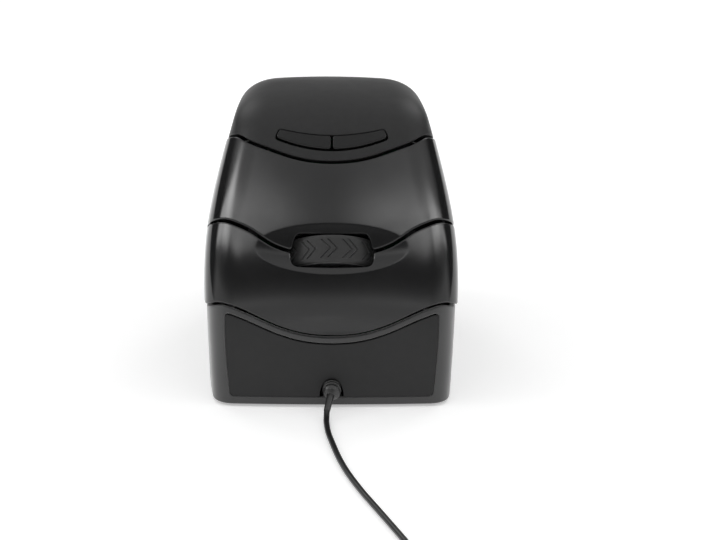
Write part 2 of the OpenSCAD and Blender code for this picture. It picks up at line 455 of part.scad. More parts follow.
// Two flat ties round the coil, which rests on them
module cord_ties() color([0.1, 0.1, 0.1]) translate([coil_at.x, coil_at.y, 0]) for (a = [135, 315])
  rotate([0, 0, a]) difference() {
    box([coil_r - coil_w - 0.9, -2, 0], [coil_r + coil_w + 0.5, 2, coil_h + 2 * coil_z]);
    box([coil_r - coil_w - 0.5, -3, coil_z - 0.02], [coil_r + coil_w + 0.1, 3, coil_h + coil_z + 0.05]);
  }
module plug_grip() color([0.08, 0.08, 0.08]) translate(plug_at) rotate([0, 0, 180]) difference() {
  union() {
    box([6, -7.8, -4], [30, 7.8, 4]);
    rotate([0, 90, 0]) rotate_extrude() polygon([[0, 0], [cz + 0.5, 0], [cz + 1.9, 6.5], [0, 6.5]]);
  }
  box([22, -6.02, -2.27], [31, 6.02, 2.27]);
}
module plug_shell() color([0.75, 0.75, 0.77]) translate(plug_at) rotate([0, 0, 180]) difference() {
  box([22.02, -6, -2.25], [42, 6, 2.25]);
  box([23, -5.7, -1.95], [43, 5.7, 1.95]);
  for (y = [-2.6, 2.6]) box([35, y - 1.1, -3], [37.2, y + 1.1, 3]);
}
module plug_tongue() color([0.9, 0.9, 0.88]) translate(plug_at) rotate([0, 0, 180]) box([23.05, -5.6, -1.9], [41, 5.6, 0]);

base_shell();
front_plate();
lower_button();
upper_button();
hinge_brackets();
rear_housing();
cap();
cap_button_left();
cap_button_right();
base_plate();
glide_feet();
base_screws();
chassis();
button_hinge_pins();
wheel_hub();
wheel_tyre();
wheel_axle();
wheel_carrier();
carrier_guide_pins();
wheel_encoder();
wheel_switch();
wheel_plunger();
upper_switch();
upper_plunger();
lower_switch();
lower_plunger();
cap_switch_left();
cap_switch_right();
cap_plunger_left();
cap_plunger_right();
front_board();
main_board();
cap_board();
sensor_chip();
sensor_lens();
sensor_lamp();
front_ribbon();
cap_ribbon();
cord_socket();
inner_lead();
strain_relief();
cord_tube();
cord_coil();
cord_ties();
cord_tail();
plug_grip();
plug_shell();
plug_tongue();
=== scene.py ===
import math

import bmesh
import bpy
import numpy as np
from mathutils import Matrix, Vector, kdtree
from mathutils.geometry import delaunay_2d_cdt


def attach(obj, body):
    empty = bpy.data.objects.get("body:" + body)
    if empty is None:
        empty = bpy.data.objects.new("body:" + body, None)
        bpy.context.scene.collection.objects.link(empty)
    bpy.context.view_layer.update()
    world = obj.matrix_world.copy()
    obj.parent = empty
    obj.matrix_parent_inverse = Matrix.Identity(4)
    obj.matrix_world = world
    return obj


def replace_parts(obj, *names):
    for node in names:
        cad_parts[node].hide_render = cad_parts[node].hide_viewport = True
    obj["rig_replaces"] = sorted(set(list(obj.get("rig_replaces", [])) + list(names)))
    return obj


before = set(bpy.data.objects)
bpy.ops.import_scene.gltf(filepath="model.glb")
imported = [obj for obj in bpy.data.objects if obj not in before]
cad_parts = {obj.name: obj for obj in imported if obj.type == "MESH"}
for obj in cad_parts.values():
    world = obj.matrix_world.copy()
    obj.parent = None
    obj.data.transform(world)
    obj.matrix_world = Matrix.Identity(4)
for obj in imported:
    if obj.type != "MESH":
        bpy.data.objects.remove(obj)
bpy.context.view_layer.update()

MM = 0.001

# ------------------------------------------------------------------ camera
ELEV = math.radians(18.0)
DIST = 0.640
LOOK = Vector((0, 0, 0.036))
cam_data = bpy.data.cameras.new("camera")
cam_data.lens = 120.0
cam_data.sensor_width = 36.0
cam_data.clip_start, cam_data.clip_end = 0.05, 20.0
cam = bpy.data.objects.new("camera", cam_data)
bpy.context.scene.collection.objects.link(cam)
bpy.context.scene.camera = cam
ROLL = math.radians(0.65)          # and the camera leans a little
TURN = math.radians(0.9)          # the photograph is taken a little from the left
cam.location = LOOK + Vector((-math.sin(TURN) * math.cos(ELEV), -math.cos(TURN) * math.cos(ELEV), math.sin(ELEV))) * DIST


def aim(px, py, point):
    """Turns the camera so that point lands on pixel px, py of the 716 x 540 frame."""
    k = 716 / 36.0 * cam_data.lens
    yaw, pitch = 0.0, 0.0
    d = Vector(point) - cam.location
    for _ in range(30):
        rot = Matrix.Rotation(yaw, 3, "Z") @ Matrix.Rotation(math.pi / 2 - ELEV + pitch, 3, "X") @ Matrix.Rotation(ROLL, 3, "Z")
        q = rot.transposed() @ d
        u, v = 358 + k * q.x / -q.z, 270 - k * q.y / -q.z
        yaw += (u - px) / k * -1.0
        pitch += (v - py) / k * 1.0 * -1.0
    cam.rotation_euler = rot.to_euler()
    return u, v


aimed = aim(330.1, 218.0, LOOK)
print("aimed", aimed)

# ------------------------------------------------------------------ cord
CORD_D = 1.5
CZ = CORD_D / 2
COIL_AT = (9.0, -158.0)
COIL_R = 9.0
COIL_Z = 0.4
cord_route = [(-1.3, -53, 2.2), (-1.4, -55, 1.2), (-1.4, -58, CZ), (-1, -64, CZ), (0, -71, CZ), (1.3, -79, CZ),
              (3.3, -88, CZ), (6.2, -98, CZ), (9.6, -108, CZ), (13, -118, CZ), (16, -127, CZ), (18.6, -136, CZ),
              (20.3, -144, CZ + 0.1), (21, -150, CZ + 0.3), (21, -153.5, CZ + COIL_Z)]
tail_route = [(4, -170, 8.6), (0, -170.2, 8.0), (-4, -170.4, 6.4), (-8, -170.5, 4.8), (-12.6, -170.5, 4)]


def catmull(p, n):
    p = [np.array(q, float) for q in p]
    out = []
    for i in range(len(p) - 1):
        a, b, c, d = p[max(i - 1, 0)], p[i], p[i + 1], p[min(i + 2, len(p) - 1)]
        for k in range(n):
            u = k / n
            out.append(0.5 * (2 * b + (c - a) * u + (2 * a - 5 * b + 4 * c - d) * u * u + (3 * b - a - 3 * c + d) * u ** 3))
    out.append(p[-1])
    return out


def smoothstep(x):
    x = min(max(x, 0.0), 1.0)
    return x * x * (3 - 2 * x)


def coil_points(turns, per_turn=40, layers=6, cols=5):
    """Turns of a neat coil, wound clockwise from the right, a diameter apart."""
    slots = []
    for layer in range(layers):
        order = range(cols) if layer % 2 == 0 else range(cols - 1, -1, -1)
        for c in order:
            slots.append((COIL_R + (cols - 1) / 2 * CORD_D - c * CORD_D, COIL_Z + CZ + layer * CORD_D))
    pts = []
    n = int(round(turns * per_turn))
    for k in range(n + 1):
        t = k / per_turn
        i = min(int(t), len(slots) - 1)
        f = t - i
        r0, z0 = slots[i]
        r1, z1 = slots[min(i + 1, len(slots) - 1)]
        w = smoothstep((f - 0.86) / 0.14)
        r, z = r0 + (r1 - r0) * w, z0 + (z1 - z0) * w
        a = -2 * math.pi * t
        pts.append(np.array([COIL_AT[0] + r * math.cos(a), COIL_AT[1] + r * math.sin(a), z]))
    return pts


seen_part = catmull(cord_route, 3)
coil_part = coil_points(29.25)
end_part = catmull(tail_route, 3)
bridge = [np.array([21, -156, CZ + COIL_Z])]
cord_pts = seen_part + bridge + coil_part + end_part[1:]
cord_len = sum(float(np.linalg.norm(b - a)) for a, b in zip(cord_pts, cord_pts[1:]))
print("cord length mm", round(cord_len, 1), "points", len(cord_pts))

curve = bpy.data.curves.new("cord", "CURVE")
curve.dimensions = "3D"
curve.bevel_depth = CORD_D / 2                # in mm, times each point's radius of a thousandth
curve.bevel_resolution = 4
curve.use_fill_caps = True
sp = curve.splines.new("POLY")
sp.points.add(len(cord_pts) - 1)
for q, p in zip(sp.points, cord_pts):
    q.co = (p[0] * MM, p[1] * MM, p[2] * MM, 1)
    q.radius = MM
sp.use_smooth = True
cord = bpy.data.objects.new("cord", curve)
bpy.context.scene.collection.objects.link(cord)
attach(cord, "housing")
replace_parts(cord, "cord_tube", "cord_coil", "cord_tail")
# ------------------------------------------------------------------ form of the body, as in the CAD source
BODY_H, BODY_D, BODY_W, WALL, FOOT_H = 72.4, 92.0, 32.1, 1.8, 0.7
SEAM, WING_GAP, DISH = 0.65, 0.75, 0.8
KEY_OUT, BASE_IN = 0.3, 0.35
DISH_SOFT = 0.03
AXIS_Y = 4.0


def hyp(t, k):
    return (t + np.sqrt(t * t + k * k)) / 2


def dhyp(t, k):
    return (1 + t / np.sqrt(t * t + k * k)) / 2


def lim(f, r):
    return (np.maximum(f + r, 0) / r) ** 2.35


def form(p):
    x, y, z = p[..., 0], p[..., 1], p[..., 2]
    t = np.clip((z - 18) / 28, 0, 1)
    bend = 0.0022 + 0.0053 * t * t * (3 - 2 * t)
    y_front = -BODY_D / 2 + 0.03 * z + 0.74 * (hyp(z - 30, 9) - hyp(-30.0, 9.0))
    y_rear = BODY_D / 2 - 0.02 * z - 0.95 * (hyp(z - 50, 24) - hyp(-50.0, 24.0))
    half_w = BODY_W + 0.054 * z - 0.345 * (hyp(z - 36.8, 12.8) - hyp(-36.8, 12.8)) - 0.0024 * (y + 16) ** 2
    r = np.clip((z - 4) / 26, 0, 1)
    r = 0.62 + 0.38 * r * r * (3 - 2 * r)
    return (lim((y_front + x * x * bend / 2 - y) / np.sqrt(1 + (0.03 + 0.74 * dhyp(z - 30, 9)) ** 2), 8.5 * r)
            + lim(np.abs(x) - half_w, 8.2 * r)
            + lim((y - y_rear + x * x / 520) / np.sqrt(1 + (0.02 + 0.95 * dhyp(z - 50, 24)) ** 2), 12)
            + lim(z - BODY_H + (y - 4) ** 2 / 210 + x * x / 440, 5.4) - 1)


def shoot(c, d, far=80.0):
    """Points where rays from c along d leave the form."""
    lo, hi = np.zeros(d.shape[:-1]), np.full(d.shape[:-1], far)
    for _ in range(34):
        m = (lo + hi) / 2
        inside = form(c + d * m[..., None]) < 0
        lo, hi = np.where(inside, m, lo), np.where(inside, hi, m)
    return c + d * ((lo + hi) / 2)[..., None]


def unit(v):
    return v / np.maximum(np.linalg.norm(v, axis=-1, keepdims=True), 1e-12)


def out_dir(p, h=0.01):
    e = np.eye(3) * h
    return unit(np.stack([form(p + e[k]) - form(p - e[k]) for k in range(3)], -1))


def skin(a, z):
    """Points of the form at angle a (degrees) round the vertical axis and height z, and outward directions."""
    a, z = np.broadcast_arrays(np.asarray(a, float), np.asarray(z, float))
    c = np.stack([np.zeros_like(z), np.full_like(z, AXIS_Y), z], -1)
    t = np.radians(a)
    p = shoot(c, np.stack([np.sin(t), -np.cos(t), np.zeros_like(t)], -1))
    return p, out_dir(p)


def dished(p, n):
    """Sinks the finger dish: point, and direction across the sunk surface."""
    q = 1 - (p[..., 0] / 19.3) ** 2 - ((p[..., 2] - 39.6) / 5.5) ** 2
    q = np.where(p[..., 1] > 0, -9.0, q)
    root = np.sqrt(q * q + DISH_SOFT ** 2)
    d = DISH * (q + root) / 2
    w = DISH * (1 + q / root) / 2
    g = np.stack([-2 * p[..., 0] / 19.3 ** 2 * w, np.zeros_like(w), -2 * (p[..., 2] - 39.6) / 5.5 ** 2 * w], -1)
    g = g - n * np.sum(g * n, -1, keepdims=True)
    return p - n * d[..., None], unit(n + g)


SEAM1 = np.array([[0, 58.5], [12, 58.8], [22, 59.6], [30, 60.6], [38, 61.7], [46, 62.7], [52, 63.1], [57, 62.4],
                  [64, 61], [80, 57.5], [105, 53], [140, 49.5], [180, 48.5]], float)
SEAM2 = np.array([[0, 38.6], [14, 39.2], [20, 40.2], [25, 41.7], [29, 43.1], [33.5, 44.2], [38, 44.7], [42, 44.2],
                  [47, 42.6], [56, 39.4], [70, 36.5], [90, 34]], float)
SEAM3 = np.array([[0, 19], [6, 19.3], [11, 20.1], [16, 21.5], [20, 23], [25.5, 25.2], [29, 26.2], [33, 26.3],
                  [37, 25], [40, 23.7], [46, 22], [60, 19.5], [90, 16.5], [130, 14.5], [180, 14]], float)


def smooth(t, a):
    a = np.abs(np.asarray(a, float))
    a = np.where(a > 180, 360 - a, a)
    s = np.zeros(len(t))
    s[1:-1] = (t[2:, 1] - t[:-2, 1]) / (t[2:, 0] - t[:-2, 0])
    i = np.clip(np.searchsorted(t[:, 0], a, side="right") - 1, 0, len(t) - 2)
    h = t[i + 1, 0] - t[i, 0]
    u = (a - t[i, 0]) / h
    return ((2 * u ** 3 - 3 * u ** 2 + 1) * t[i, 1] + (u ** 3 - 2 * u ** 2 + u) * h * s[i]
            + (3 * u ** 2 - 2 * u ** 3) * t[i + 1, 1] + (u ** 3 - u ** 2) * h * s[i + 1])


WIN_A = 14.3
KEY_A = 32.5


def win_top(a):
    return 39.2 + 3.9 * np.sqrt(np.maximum(0, 1 - (np.abs(a) / WIN_A) ** 22))


def win_bot(a):
    return 39.2 - 3.4 * np.sqrt(np.maximum(0, 1 - (np.abs(a) / WIN_A) ** 14))


def wing(z):
    return 58.5 + 0.15 * z


WING_HALF = math.degrees(WING_GAP / 2 / 32)


def key_lo(a):
    return 61 + 2.33 * (a / KEY_A) ** 2


def key_hi(a):
    return 64.4 + 1.25 * (a / KEY_A) ** 2


def plate_a(z):
    return 27.6 + 0.125 * z


def plate_hi(a):
    return smooth(SEAM3, a) - 1.9


# Flat maps of the form: side covers by arc length and height, the top by angle from straight up
_A = np.linspace(-200, 380, 2321)
_P = skin(_A, 40.0)[0]
_L = np.concatenate([[0], np.cumsum(np.linalg.norm(np.diff(_P, axis=0), axis=1))])
_L -= np.interp(0, _A, _L)
KZ = 1.15


def side_uv(a, z):
    a, z = np.broadcast_arrays(np.asarray(a, float), np.asarray(z, float))
    return np.stack([np.interp(a, _A, _L), z * KZ], -1)


def side_skin(uv):
    a, z = np.interp(uv[:, 0], _L, _A), uv[:, 1] / KZ
    p, n = skin(a, z)
    q, m = dished(p, n)
    return q, n, m


TOP_C = np.array([0, AXIS_Y, 40.0])
TOP_R = 33.0


def top_uv(a, z):
    d = unit(skin(a, z)[0] - TOP_C)
    th = np.arccos(np.clip(d[..., 2], -1, 1)) * TOP_R
    return unit(d[..., :2]) * th[..., None]


def top_skin(uv):
    th = np.hypot(uv[:, 0], uv[:, 1])
    k = np.where(th > 1e-9, np.sin(th / TOP_R) / np.maximum(th, 1e-9), 1 / TOP_R)
    d = np.stack([uv[:, 0] * k, uv[:, 1] * k, np.cos(th / TOP_R)], -1)
    p = shoot(TOP_C, d)
    n = out_dir(p)
    return p, n, n


# ------------------------------------------------------------------ outlines in the flat maps
def resample(p, step, closed=False):
    p = np.asarray(p, float)
    if closed:
        p = np.vstack([p, p[:1]])
    s = np.concatenate([[0], np.cumsum(np.linalg.norm(np.diff(p, axis=0), axis=1))])
    n = max(2, int(round(s[-1] / step)))
    t = np.linspace(0, s[-1], n + 1)
    q = np.stack([np.interp(t, s, p[:, k]) for k in range(2)], -1)
    return q[:-1] if closed else q


def trim(p, d0, d1):
    s = np.concatenate([[0], np.cumsum(np.linalg.norm(np.diff(p, axis=0), axis=1))])
    t = np.linspace(d0, s[-1] - d1, max(3, int((s[-1] - d0 - d1) / 0.1)))
    return np.stack([np.interp(t, s, p[:, k]) for k in range(2)], -1)


def loop_of(paths, radii, step=0.42):
    """Closed outline through paths; radii[i] rounds the corner after paths[i]."""
    n = len(paths)
    cut = [trim(np.asarray(p, float), radii[i - 1], radii[i]) for i, p in enumerate(paths)]
    out = []
    for i in range(n):
        out.append(cut[i])
        a, b = cut[i][-1], cut[(i + 1) % n][0]
        c = np.asarray(paths[i], float)[-1]
        u = np.linspace(0, 1, 14)[1:-1, None]
        out.append((1 - u) ** 2 * a + 2 * u * (1 - u) * c + u * u * b)
    return resample(np.vstack(out), step, True)


def soften(p, sigma=0.3):
    """Rounds the sharp turns of an open path."""
    q = resample(p, 0.08)
    k = np.exp(-0.5 * (np.arange(-15, 16) * 0.08 / sigma) ** 2)
    k /= k.sum()
    pad = np.vstack([2 * q[0] - q[15:0:-1], q, 2 * q[-1] - q[-2:-17:-1]])
    r = np.stack([np.convolve(pad[:, j], k, "valid") for j in range(2)], -1)
    r[0], r[-1] = q[0], q[-1]
    return r


def inside(pts, loops):
    """Even-odd test of points against closed loops."""
    e0 = np.vstack(loops)
    e1 = np.vstack([np.roll(l, -1, axis=0) for l in loops])
    res = np.zeros(len(pts), bool)
    for k in range(0, len(pts), 2000):
        q = pts[k:k + 2000]
        y0, y1 = e0[:, 1][None], e1[:, 1][None]
        y = q[:, 1][:, None]
        hit = (y0 > y) != (y1 > y)
        x = e0[:, 0][None] + (y - y0) * (e1[:, 0] - e0[:, 0])[None] / np.where(y1 == y0, 1, y1 - y0)
        res[k:k + 2000] = (np.sum(hit & (q[:, 0][:, None] < x), axis=1) % 2) == 1
    return res


def near(pts, cloud):
    """Distance of each 2-D point to the nearest of a cloud."""
    tree = kdtree.KDTree(len(cloud))
    for i, c in enumerate(cloud):
        tree.insert((c[0], c[1], 0), i)
    tree.balance()
    return np.array([tree.find((p[0], p[1], 0))[2] for p in pts]) if len(pts) else np.zeros(0)


def grid_in(loops, g, gap):
    lo = np.min([l.min(0) for l in loops], axis=0)
    hi = np.max([l.max(0) for l in loops], axis=0)
    rows = np.arange(lo[1], hi[1], g * math.sqrt(3) / 2)
    pts = np.array([(x + (g / 2 if j % 2 else 0), y) for j, y in enumerate(rows) for x in np.arange(lo[0], hi[0], g)])
    pts = pts[inside(pts, loops)]
    return pts[near(pts, np.vstack(loops)) > gap]


def triangles(bound, edges, extra, loops):
    pts = np.vstack([bound, extra]) if len(extra) else bound
    v, _, f, ov, _, _ = delaunay_2d_cdt([Vector(p) for p in pts], edges, [], 0, 1e-7)
    v = np.array([tuple(q) for q in v])
    ids = [min(o) if o else -1 for o in ov]
    f = np.array([t for t in f if len(t) == 3])
    keep = inside(v[f].mean(axis=1), loops)
    f = f[keep]
    # every output vertex back to its input, so that inner and outer edges match
    where = np.array(ids)
    if (where < 0).any():
        print("new points in a triangulation", int((where < 0).sum()))
    used = np.unique(f)
    f = where[f]
    a = pts[f[:, 1]] - pts[f[:, 0]]
    b = pts[f[:, 2]] - pts[f[:, 0]]
    flip = a[:, 0] * b[:, 1] - a[:, 1] * b[:, 0] < 0
    f[flip] = f[flip][:, ::-1]
    return pts, f


def dish_rings(levels=(-0.13, -0.05, -0.018, 0.0, 0.018, 0.05, 0.13, 0.3), step=0.45):
    """Points of the side map along the dish's edge and just either side of it."""
    out = []
    for q in levels:
        k = math.sqrt(1 - q)
        t = np.linspace(0, 2 * math.pi, 900)
        x, z = 19.3 * k * np.cos(t), 39.6 + 5.5 * k * np.sin(t)
        lo, hi = np.full_like(x, -60.0), np.full_like(x, 60.0)
        for _ in range(22):
            m = (lo + hi) / 2
            less = skin(m, z)[0][:, 0] < x
            lo, hi = np.where(less, m, lo), np.where(less, hi, m)
        out.append(resample(side_uv((lo + hi) / 2, z)[:-1], step, True))
    return out


def shell_data(loops, surface, wall, edge=0.32, top=0.0, grid=1.15, inner_grid=2.6, cuts=None, rings=(0.05, 0.13, 0.23, 0.36), extra=None):
    """Vertices, faces and corner normals of a closed cover between depth top and depth wall.
    loops: outline first (counter-clockwise), then holes (clockwise). cuts marks outline edges that join."""
    bound = np.vstack(loops)
    nb = len(bound)
    prev, nxt = np.zeros(nb, int), np.zeros(nb, int)
    k = 0
    for l in loops:
        i = np.arange(len(l))
        prev[k:k + len(l)] = k + (i - 1) % len(l)
        nxt[k:k + len(l)] = k + (i + 1) % len(l)
        k += len(l)
    cut = np.zeros(nb, bool) if cuts is None else cuts          # edge i -> nxt[i] is a cut
    edges = [(i, int(nxt[i])) for i in range(nb)]
    d = unit(bound[nxt] - bound)
    left = np.stack([-d[:, 1], d[:, 0]], -1)
    w0, w1 = (~cut[prev])[:, None], (~cut)[:, None]
    m = unit(left[prev] * w0 + left * w1)
    free = ~(cut | cut[prev])
    ev = np.full(nb, float(edge)) if np.isscalar(edge) else np.asarray(edge, float)   # rounding along the outline
    ring = []
    tree = kdtree.KDTree(nb)
    for i, c in enumerate(bound):
        tree.insert((c[0], c[1], 0), i)
    tree.balance()
    for r in rings:
        q = bound[free] + m[free] * r
        dist = np.array([tree.find((p[0], p[1], 0))[2] for p in q])
        q = q[(dist > 0.97 * r)]
        ring.append(q[inside(q, loops)])
    ring = np.vstack(ring)
    fill = grid_in(loops, grid, rings[-1] + 0.5 * grid)
    if extra is not None:
        more = np.vstack(extra)
        more = more[inside(more, loops)]
        more = more[near(more, bound) > rings[-1] + 0.12]
        fill = np.vstack([more, fill[near(fill, more) > 0.35 * grid]])
    pts, tri = triangles(bound, edges, np.vstack([ring, fill]), loops)
    p, n, s = surface(pts)
    # distance to the edge in space, and the direction to it
    bp = p[:nb]
    tang = unit(bp[nxt] - bp[prev])
    if cuts is not None:
        e = unit(bp[nxt] - bp)
        tang = np.where((cut[prev] & ~cut)[:, None], e, tang)
        tang = np.where((cut & ~cut[prev])[:, None], e[prev], tang)
    side = unit(np.cross(tang, s[:nb]))
    depth = np.full(len(pts), 0.0)
    norm = s.copy()
    tree3 = kdtree.KDTree(nb)
    for i, c in enumerate(bp):
        tree3.insert(tuple(c), i)
    tree3.balance()
    far = np.zeros(len(pts), bool)
    cut_vertex = cut & cut[prev]
    for i in range(nb, nb + len(ring)):
        q = p[i]
        _, j, _ = tree3.find(tuple(q))
        best, where = 1e9, None
        for a, b in ((prev[j], j), (j, nxt[j])):
            if cut[a] and nxt[a] == b:
                continue
            ab = bp[b] - bp[a]
            t = min(max(float(np.dot(q - bp[a], ab) / np.dot(ab, ab)), 0), 1)
            c = bp[a] + ab * t
            dd = float(np.linalg.norm(c - q))
            if dd < best:
                best, where = dd, c
        r = ev[j]
        if where is not None and best < r:
            b = where - q
            b = b - s[i] * np.dot(b, s[i])
            b = b / max(np.linalg.norm(b), 1e-9)
            sn = (r - best) / r
            cs = math.sqrt(max(0, 1 - sn * sn))
            depth[i] = r * (1 - cs)
            norm[i] = cs * s[i] + sn * b
    depth[:nb] = np.where(cut_vertex, 0, ev)
    norm[:nb] = np.where(cut_vertex[:, None], s[:nb], side)
    outer = p - n * top - s * depth[:, None]
    # inner face
    fill2 = grid_in(loops, inner_grid, 0.6 * inner_grid)
    pts2, tri2 = triangles(bound, edges, fill2, loops)
    p2, n2, _ = surface(pts2)
    inner = p2 - n2 * wall
    v = np.vstack([outer, inner])
    o = len(outer)
    # cut vertices deeper than the edge rounding near the ends of a cut
    if cuts is not None:
        for i in np.nonzero(cut_vertex)[0]:
            dd = min(np.linalg.norm(bp[j] - bp[i]) for j in np.nonzero(free | (cut ^ cut[prev]))[0] if abs(bound[j, 0] - bound[i, 0]) < 3) if True else 9
            r = ev[i]
            if dd < r:
                sn = (r - dd) / r
                cs = math.sqrt(1 - sn * sn)
                sgn = 1 if pts[i, 1] > np.mean(bound[cut_vertex][:, 1]) else -1
                up = np.array([0, 0, sgn], float)
                up = up - s[i] * np.dot(up, s[i])
                v[i] = p[i] - n[i] * top - s[i] * r * (1 - cs)
                norm[i] = cs * s[i] + sn * up / np.linalg.norm(up)
    faces, norms = [], []
    for t in tri:
        faces.append(tuple(int(x) for x in t))
        norms.extend(norm[x] for x in t)
    for t in tri2:
        t = t[::-1]
        faces.append(tuple(int(o + x) for x in t))
        norms.extend(-n2[x] for x in t)
    for i in range(nb):
        if cut[i]:
            continue
        j = int(nxt[i])
        faces.append((j, i, o + i, o + j))
        norms.extend((side[j], side[i], side[i], side[j]))
    return v, faces, np.array(norms)


def weld(v, faces, tol=2e-3):
    """Joins vertices that share a place, keeping face corners in order."""
    tree = kdtree.KDTree(len(v))
    for i, c in enumerate(v):
        tree.insert(tuple(c), i)
    tree.balance()
    to = np.arange(len(v))
    for i, c in enumerate(v):
        j = min(k for _, k, _ in tree.find_range(tuple(c), tol))
        to[i] = to[j] if j < i else i
    return v, [tuple(int(to[x]) for x in f) for f in faces]


def mesh_object(name, v, faces, norms=None, smooth_all=True):
    """A mesh object from millimetres, with only the vertices its faces use."""
    v = np.asarray(v, float) * MM
    used = sorted(set(x for f in faces for x in f))
    at = {x: i for i, x in enumerate(used)}
    me = bpy.data.meshes.new(name)
    me.from_pydata([tuple(v[x]) for x in used], [], [tuple(at[x] for x in f) for f in faces])
    me.validate(verbose=False)
    me.polygons.foreach_set("use_smooth", [smooth_all] * len(me.polygons))
    if norms is not None and len(me.loops) == len(norms):
        me.normals_split_custom_set([tuple(float(c) for c in n) for n in norms])
    elif norms is not None:
        print("normals not used on", name, len(me.loops), len(norms))
    me.update()
    ob = bpy.data.objects.new(name, me)
    bpy.context.scene.collection.objects.link(ob)
    return ob


def joined(*parts):
    """Several (v, faces, norms) as one."""
    vs, fs, ns, k = [], [], [], 0
    for v, f, n in parts:
        vs.append(v)
        fs.extend(tuple(x + k for x in q) for q in f)
        ns.append(n)
        k += len(v)
    return np.vstack(vs), fs, np.vstack(ns)


def upto(f, a0, sign=1, half=0.0):
    """Angle where the seam f meets the rear edge of the wrap-round keys."""
    a = a0
    for _ in range(40):
        a = wing(float(f(a))) + half
    return a


def near_win(n=500):
    t = np.concatenate([np.linspace(0, 13, n), WIN_A - 1.5 * np.linspace(1, 0, n)[1:] ** 3,
                        np.linspace(WIN_A, 60, n)[1:]])
    return t


def mirror_path(uv):
    return (uv * np.array([-1, 1]))[::-1]


def key_loop(lo, hi, r):
    """Outline of a wrap-round key between two edge functions of the angle."""
    t = near_win()
    ends = []
    for f in (lo, hi):
        e = upto(f, 63.0, half=-WING_HALF)
        q = np.concatenate([t[t < e], [e]])
        path = soften(side_uv(q, f(q)))
        ends.append((e, np.vstack([mirror_path(path)[:-1], path])))
    (_, low), (_, high) = ends
    z = np.linspace(low[-1, 1] / KZ, high[-1, 1] / KZ, 60)
    right = side_uv(wing(z) - WING_HALF, z)
    left = (right * np.array([-1, 1]))[::-1]
    return loop_of([low, right, high[::-1], left], [r, r, r, r])


def rear_loop(r):
    lo = lambda a: smooth(SEAM3, a) + SEAM / 2
    hi = lambda a: smooth(SEAM1, a) - SEAM / 2
    e0, e1 = upto(lo, 63.0, half=WING_HALF), upto(hi, 67.0, half=WING_HALF)
    q0, q1 = np.linspace(e0, 360 - e0, 900), np.linspace(e1, 360 - e1, 900)
    low, high = side_uv(q0, lo(q0)), side_uv(q1, hi(q1))
    z = np.linspace(float(lo(e0)), float(hi(e1)), 90)
    a = wing(z) + WING_HALF
    left, right = side_uv(a, z), side_uv(360 - a, z)
    return loop_of([low, right, high[::-1], left[::-1]], [r, r, r, r])


def plate_loop(grow, lift, low, r_top, r_low, arch, stop):
    """Outline of the front plate or of its opening; grow in degrees past the plate's edge."""
    def path_a(z):
        return plate_a(z) + grow
    top = lambda a: plate_hi(a) + lift
    e1 = 28.0
    for _ in range(30):
        e1 = path_a(float(top(e1)))
    e0 = path_a(low)
    q = np.linspace(-e1, e1, 500)
    high = side_uv(q, top(q))
    z = np.linspace(low, float(top(e1)), 60)
    right = side_uv(path_a(z), z)
    left = (right * np.array([-1, 1]))[::-1]
    a = np.linspace(-e0, e0, 1200)
    b = np.where(np.abs(a) < 3.55, low + arch * np.sqrt(np.maximum(0, 1 - (a / 3.55) ** 2)), low) if arch else np.full_like(a, low)
    bottom = side_uv(a, b)
    if arch:
        bottom = soften(bottom, 0.14)
    return loop_of([bottom, right, high[::-1], left], [r_low, r_top, r_top, r_low])


def clockwise(l):
    return l[::-1].copy()


def base_loops(edge_rings):
    """Outline of the base shell, cut at the rear, with a mark for each edge that is cut."""
    hi = lambda a: smooth(SEAM3, a) - SEAM / 2
    q = np.linspace(-180, 180, 2400)
    bottom = resample(side_uv(q, FOOT_H), 0.5)
    high = resample(side_uv(q, hi(q)), 0.5)[::-1]
    z0, z1 = bottom[0, 1], high[0, 1]
    inner = np.linspace(z0 + edge_rings[-1] + 0.4, z1 - edge_rings[-1] - 0.4, 13)
    col = np.concatenate([z0 + np.array(edge_rings), inner, z1 - np.array(edge_rings)[::-1]])
    right = np.stack([np.full(len(col), bottom[-1, 0]), col], -1)
    left = np.stack([np.full(len(col), bottom[0, 0]), col], -1)[::-1]
    outline = np.vstack([bottom, right, high, left])
    n0, n1, n2, n3 = len(bottom), len(right), len(high), len(left)
    cut = np.zeros(len(outline), bool)
    cut[n0 - 1:n0 + n1] = True
    cut[n0 + n1 + n2 - 1:] = True
    return outline, cut


RINGS = (0.05, 0.13, 0.23, 0.36, 0.5)
KEY_RINGS = (0.05, 0.12, 0.21, 0.32, 0.46)
covers = {}


def top_edge(loop, lift, high, rest):
    """Rounding along the plate's outline: high along its upper edge, rest elsewhere."""
    a, z = np.interp(loop[:, 0], _L, _A), loop[:, 1] / KZ
    return np.where(np.abs(z - plate_hi(a) - lift) < 0.35, high, rest)


def cover(name, body, data, replaces):
    ob = mesh_object(name, *data)
    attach(ob, body)
    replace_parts(ob, *replaces)
    covers[name] = ob
    return ob


low3 = lambda a: smooth(SEAM3, a) + SEAM / 2
up_edge = lambda a: np.where(np.abs(a) < WIN_A, np.maximum(win_top(a), smooth(SEAM2, a) + SEAM / 2), smooth(SEAM2, a) + SEAM / 2)
down_edge = lambda a: np.where(np.abs(a) < WIN_A, np.minimum(win_bot(a), smooth(SEAM2, a) - SEAM / 2), smooth(SEAM2, a) - SEAM / 2)
high1 = lambda a: smooth(SEAM1, a) - SEAM / 2

